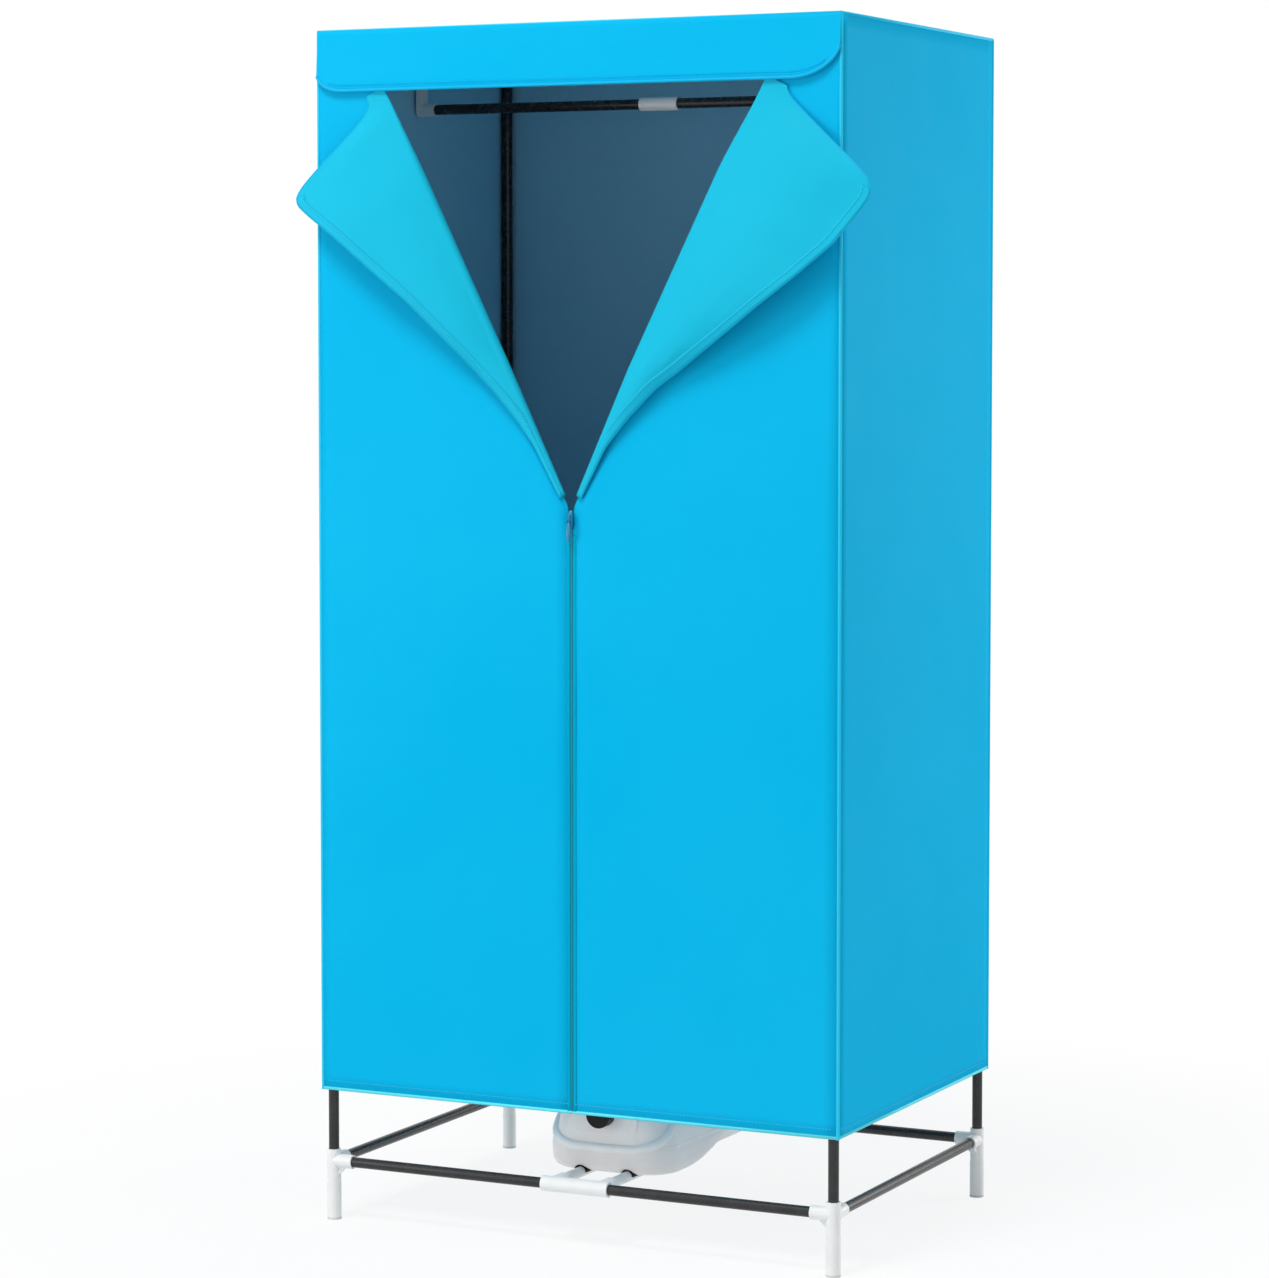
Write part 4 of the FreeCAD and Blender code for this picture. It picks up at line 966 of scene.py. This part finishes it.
def heater_lip():
    """Raised lip round the panel's recess, in a paler white that paints on its highlight."""
    path = []
    for i in range(-60, 61):
        run = abs(i) / 60 * LIP_RUN
        level = table_value(LIP_RISE, run)
        ring = hull_ring(level, LIP_INSET)
        right = sorted((at, x, y) for x, y, at in ring if x > -1e-9 and at < NO_RUN / 2)
        x = table_value([(at, x) for at, x, _ in right], run)
        y = table_value([(at, y) for at, _, y in right], run)
        path.append(Vector((x if i >= 0 else -x, y, level)))
    # the lip takes the paler white: a painted highlight along the panel's edge
    lip = cord_line("heater_lip", path, LIP_RADIUS, LIP_PAINTED_HIGHLIGHT)
    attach(lip, "cabinet")


# ------------------------------------------------------------------ camera, light and stage

PHOTO_HEIGHT = 1278
CAMERA_AZIMUTH = math.radians(26.03)
CAMERA_PITCH = math.radians(3.5)
CAMERA_DISTANCE = 4.890
CAMERA_SIDE = -0.0319
CAMERA_AIM = 0.8215
CAMERA_FOCAL_PIXELS = 3887.0
CAMERA_DROP_PIXELS = -77.0
SENSOR = 36.0
FLOOR_SIZE = 30
FLOOR_WHITE = 0.84
FLOOR_NEAR, FLOOR_FAR = 0.55, 1.5
AMBIENT = 0.50
# name, place, target, size and power
LAMPS = (
    ("key", (-0.4, -2.7, 5.1), (0, -0.1, 0.95), (1.4, 1.4), 138),
    ("left_softbox", (-2.4, -2.7, 1.2), (-0.2, -0.2, 0.9), (0.9, 1.8), 25),
    ("rear_softbox", (2.2, 2.5, 1.3), (0.35, 0, 0.9), (0.9, 1.8), 40),
)


def camera():
    """Camera at the photograph's place, found from the cover's and legs' corners."""
    ahead = Vector((
        -math.sin(CAMERA_AZIMUTH) * math.cos(CAMERA_PITCH),
        math.cos(CAMERA_AZIMUTH) * math.cos(CAMERA_PITCH),
        -math.sin(CAMERA_PITCH),
    ))
    right = Vector((math.cos(CAMERA_AZIMUTH), math.sin(CAMERA_AZIMUTH), 0))
    target = Vector((0, MIDDLE_Y, CAMERA_AIM)) + right * CAMERA_SIDE
    data = bpy.data.cameras.new("camera")
    data.sensor_fit = "VERTICAL"
    data.sensor_height = SENSOR
    data.lens = CAMERA_FOCAL_PIXELS * SENSOR / PHOTO_HEIGHT
    data.shift_y = CAMERA_DROP_PIXELS / PHOTO_HEIGHT
    data.clip_end = 60
    obj = bpy.data.objects.new("camera", data)
    obj.location = target - ahead * CAMERA_DISTANCE
    obj.rotation_euler = ahead.to_track_quat("-Z", "Y").to_euler()
    bpy.context.collection.objects.link(obj)
    bpy.context.scene.camera = obj


def area_light(name, place, target, size, power):
    """Soft rectangular light."""
    data = bpy.data.lights.new(name, "AREA")
    data.shape = "RECTANGLE"
    data.size, data.size_y = size
    data.energy = power
    obj = bpy.data.objects.new(name, data)
    obj.location = place
    obj.rotation_euler = (Vector(target) - Vector(place)).to_track_quat("-Z", "Y").to_euler()
    obj.visible_camera = False
    bpy.context.collection.objects.link(obj)


def white_for_camera(nodes, links, base, output):
    """Mix whose second input is for camera, glossy and transmission rays; the rest sees base."""
    ray = nodes.new("ShaderNodeLightPath")
    seen = nodes.new("ShaderNodeMath")
    seen.operation = "MAXIMUM"
    more = nodes.new("ShaderNodeMath")
    more.operation = "MAXIMUM"
    links.new(ray.outputs["Is Camera Ray"], seen.inputs[0])
    links.new(ray.outputs["Is Glossy Ray"], seen.inputs[1])
    links.new(seen.outputs[0], more.inputs[0])
    links.new(ray.outputs["Is Transmission Ray"], more.inputs[1])
    mix = nodes.new("ShaderNodeMixShader")
    links.new(more.outputs[0], mix.inputs["Fac"])
    links.new(base, mix.inputs[1])
    links.new(mix.outputs[0], output)
    return mix


def floor_material():
    """White floor: pure white far off, and near the object a share of it takes the shadow."""
    mat, tree, bsdf = shader("floor_white", (0.92, 0.92, 0.92), 0.9)
    bsdf.inputs["Specular IOR Level"].default_value = 0.0
    nodes, links = tree.nodes, tree.links
    length = node(tree, "ShaderNodeVectorMath", operation="LENGTH")
    links.new(coordinates(tree), length.inputs[0])
    fade = node(tree, "ShaderNodeMapRange", interpolation_type="SMOOTHSTEP")
    fade.inputs["From Min"].default_value = FLOOR_NEAR
    fade.inputs["From Max"].default_value = FLOOR_FAR
    fade.inputs["To Min"].default_value = FLOOR_WHITE
    fade.inputs["To Max"].default_value = 1.0
    links.new(length.outputs["Value"], fade.inputs["Value"])
    white = node(tree, "ShaderNodeEmission", Strength=1.0)
    near = node(tree, "ShaderNodeMixShader")
    links.new(fade.outputs["Result"], near.inputs["Fac"])
    links.new(bsdf.outputs[0], near.inputs[1])
    links.new(white.outputs[0], near.inputs[2])
    surface = nodes["Material Output"].inputs["Surface"]
    mix = white_for_camera(nodes, links, bsdf.outputs[0], surface)
    links.new(near.outputs[0], mix.inputs[2])
    return mat


def stage():
    """White floor, white surroundings and soft studio light."""
    corners = [(x * FLOOR_SIZE, y * FLOOR_SIZE, 0) for x, y in ((-1, -1), (1, -1), (1, 1), (-1, 1))]
    floor = add_mesh("floor", corners, [(0, 1, 2, 3)], floor_material())
    world = bpy.data.worlds.new("studio")
    bpy.context.scene.world = world
    world.use_nodes = True
    nodes, links = world.node_tree.nodes, world.node_tree.links
    back = nodes["Background"]
    back.inputs["Color"].default_value = (1, 1, 1, 1)
    back.inputs["Strength"].default_value = AMBIENT
    seen = nodes.new("ShaderNodeBackground")
    seen.inputs["Color"].default_value = (1, 1, 1, 1)
    seen.inputs["Strength"].default_value = 1.0
    surface = nodes["World Output"].inputs["Surface"]
    mix = white_for_camera(nodes, links, back.outputs[0], surface)
    links.new(seen.outputs[0], mix.inputs[2])
    for name, place, target, size, power in LAMPS:
        area_light(name, place, target, size, power)
    bpy.context.scene.view_settings.view_transform = "Standard"


# ------------------------------------------------------------------ making

finish_nodes()
camera()
stage()
cover_box()
front_half("left", -1)
front_half("right", 1)
cloth_floor()
piping()
hem_stitching()
header()
lapel("left", -1)
lapel("right", 1)
zip_chain()
slider()
heater_shells()
panel_plate()
heater_lip()
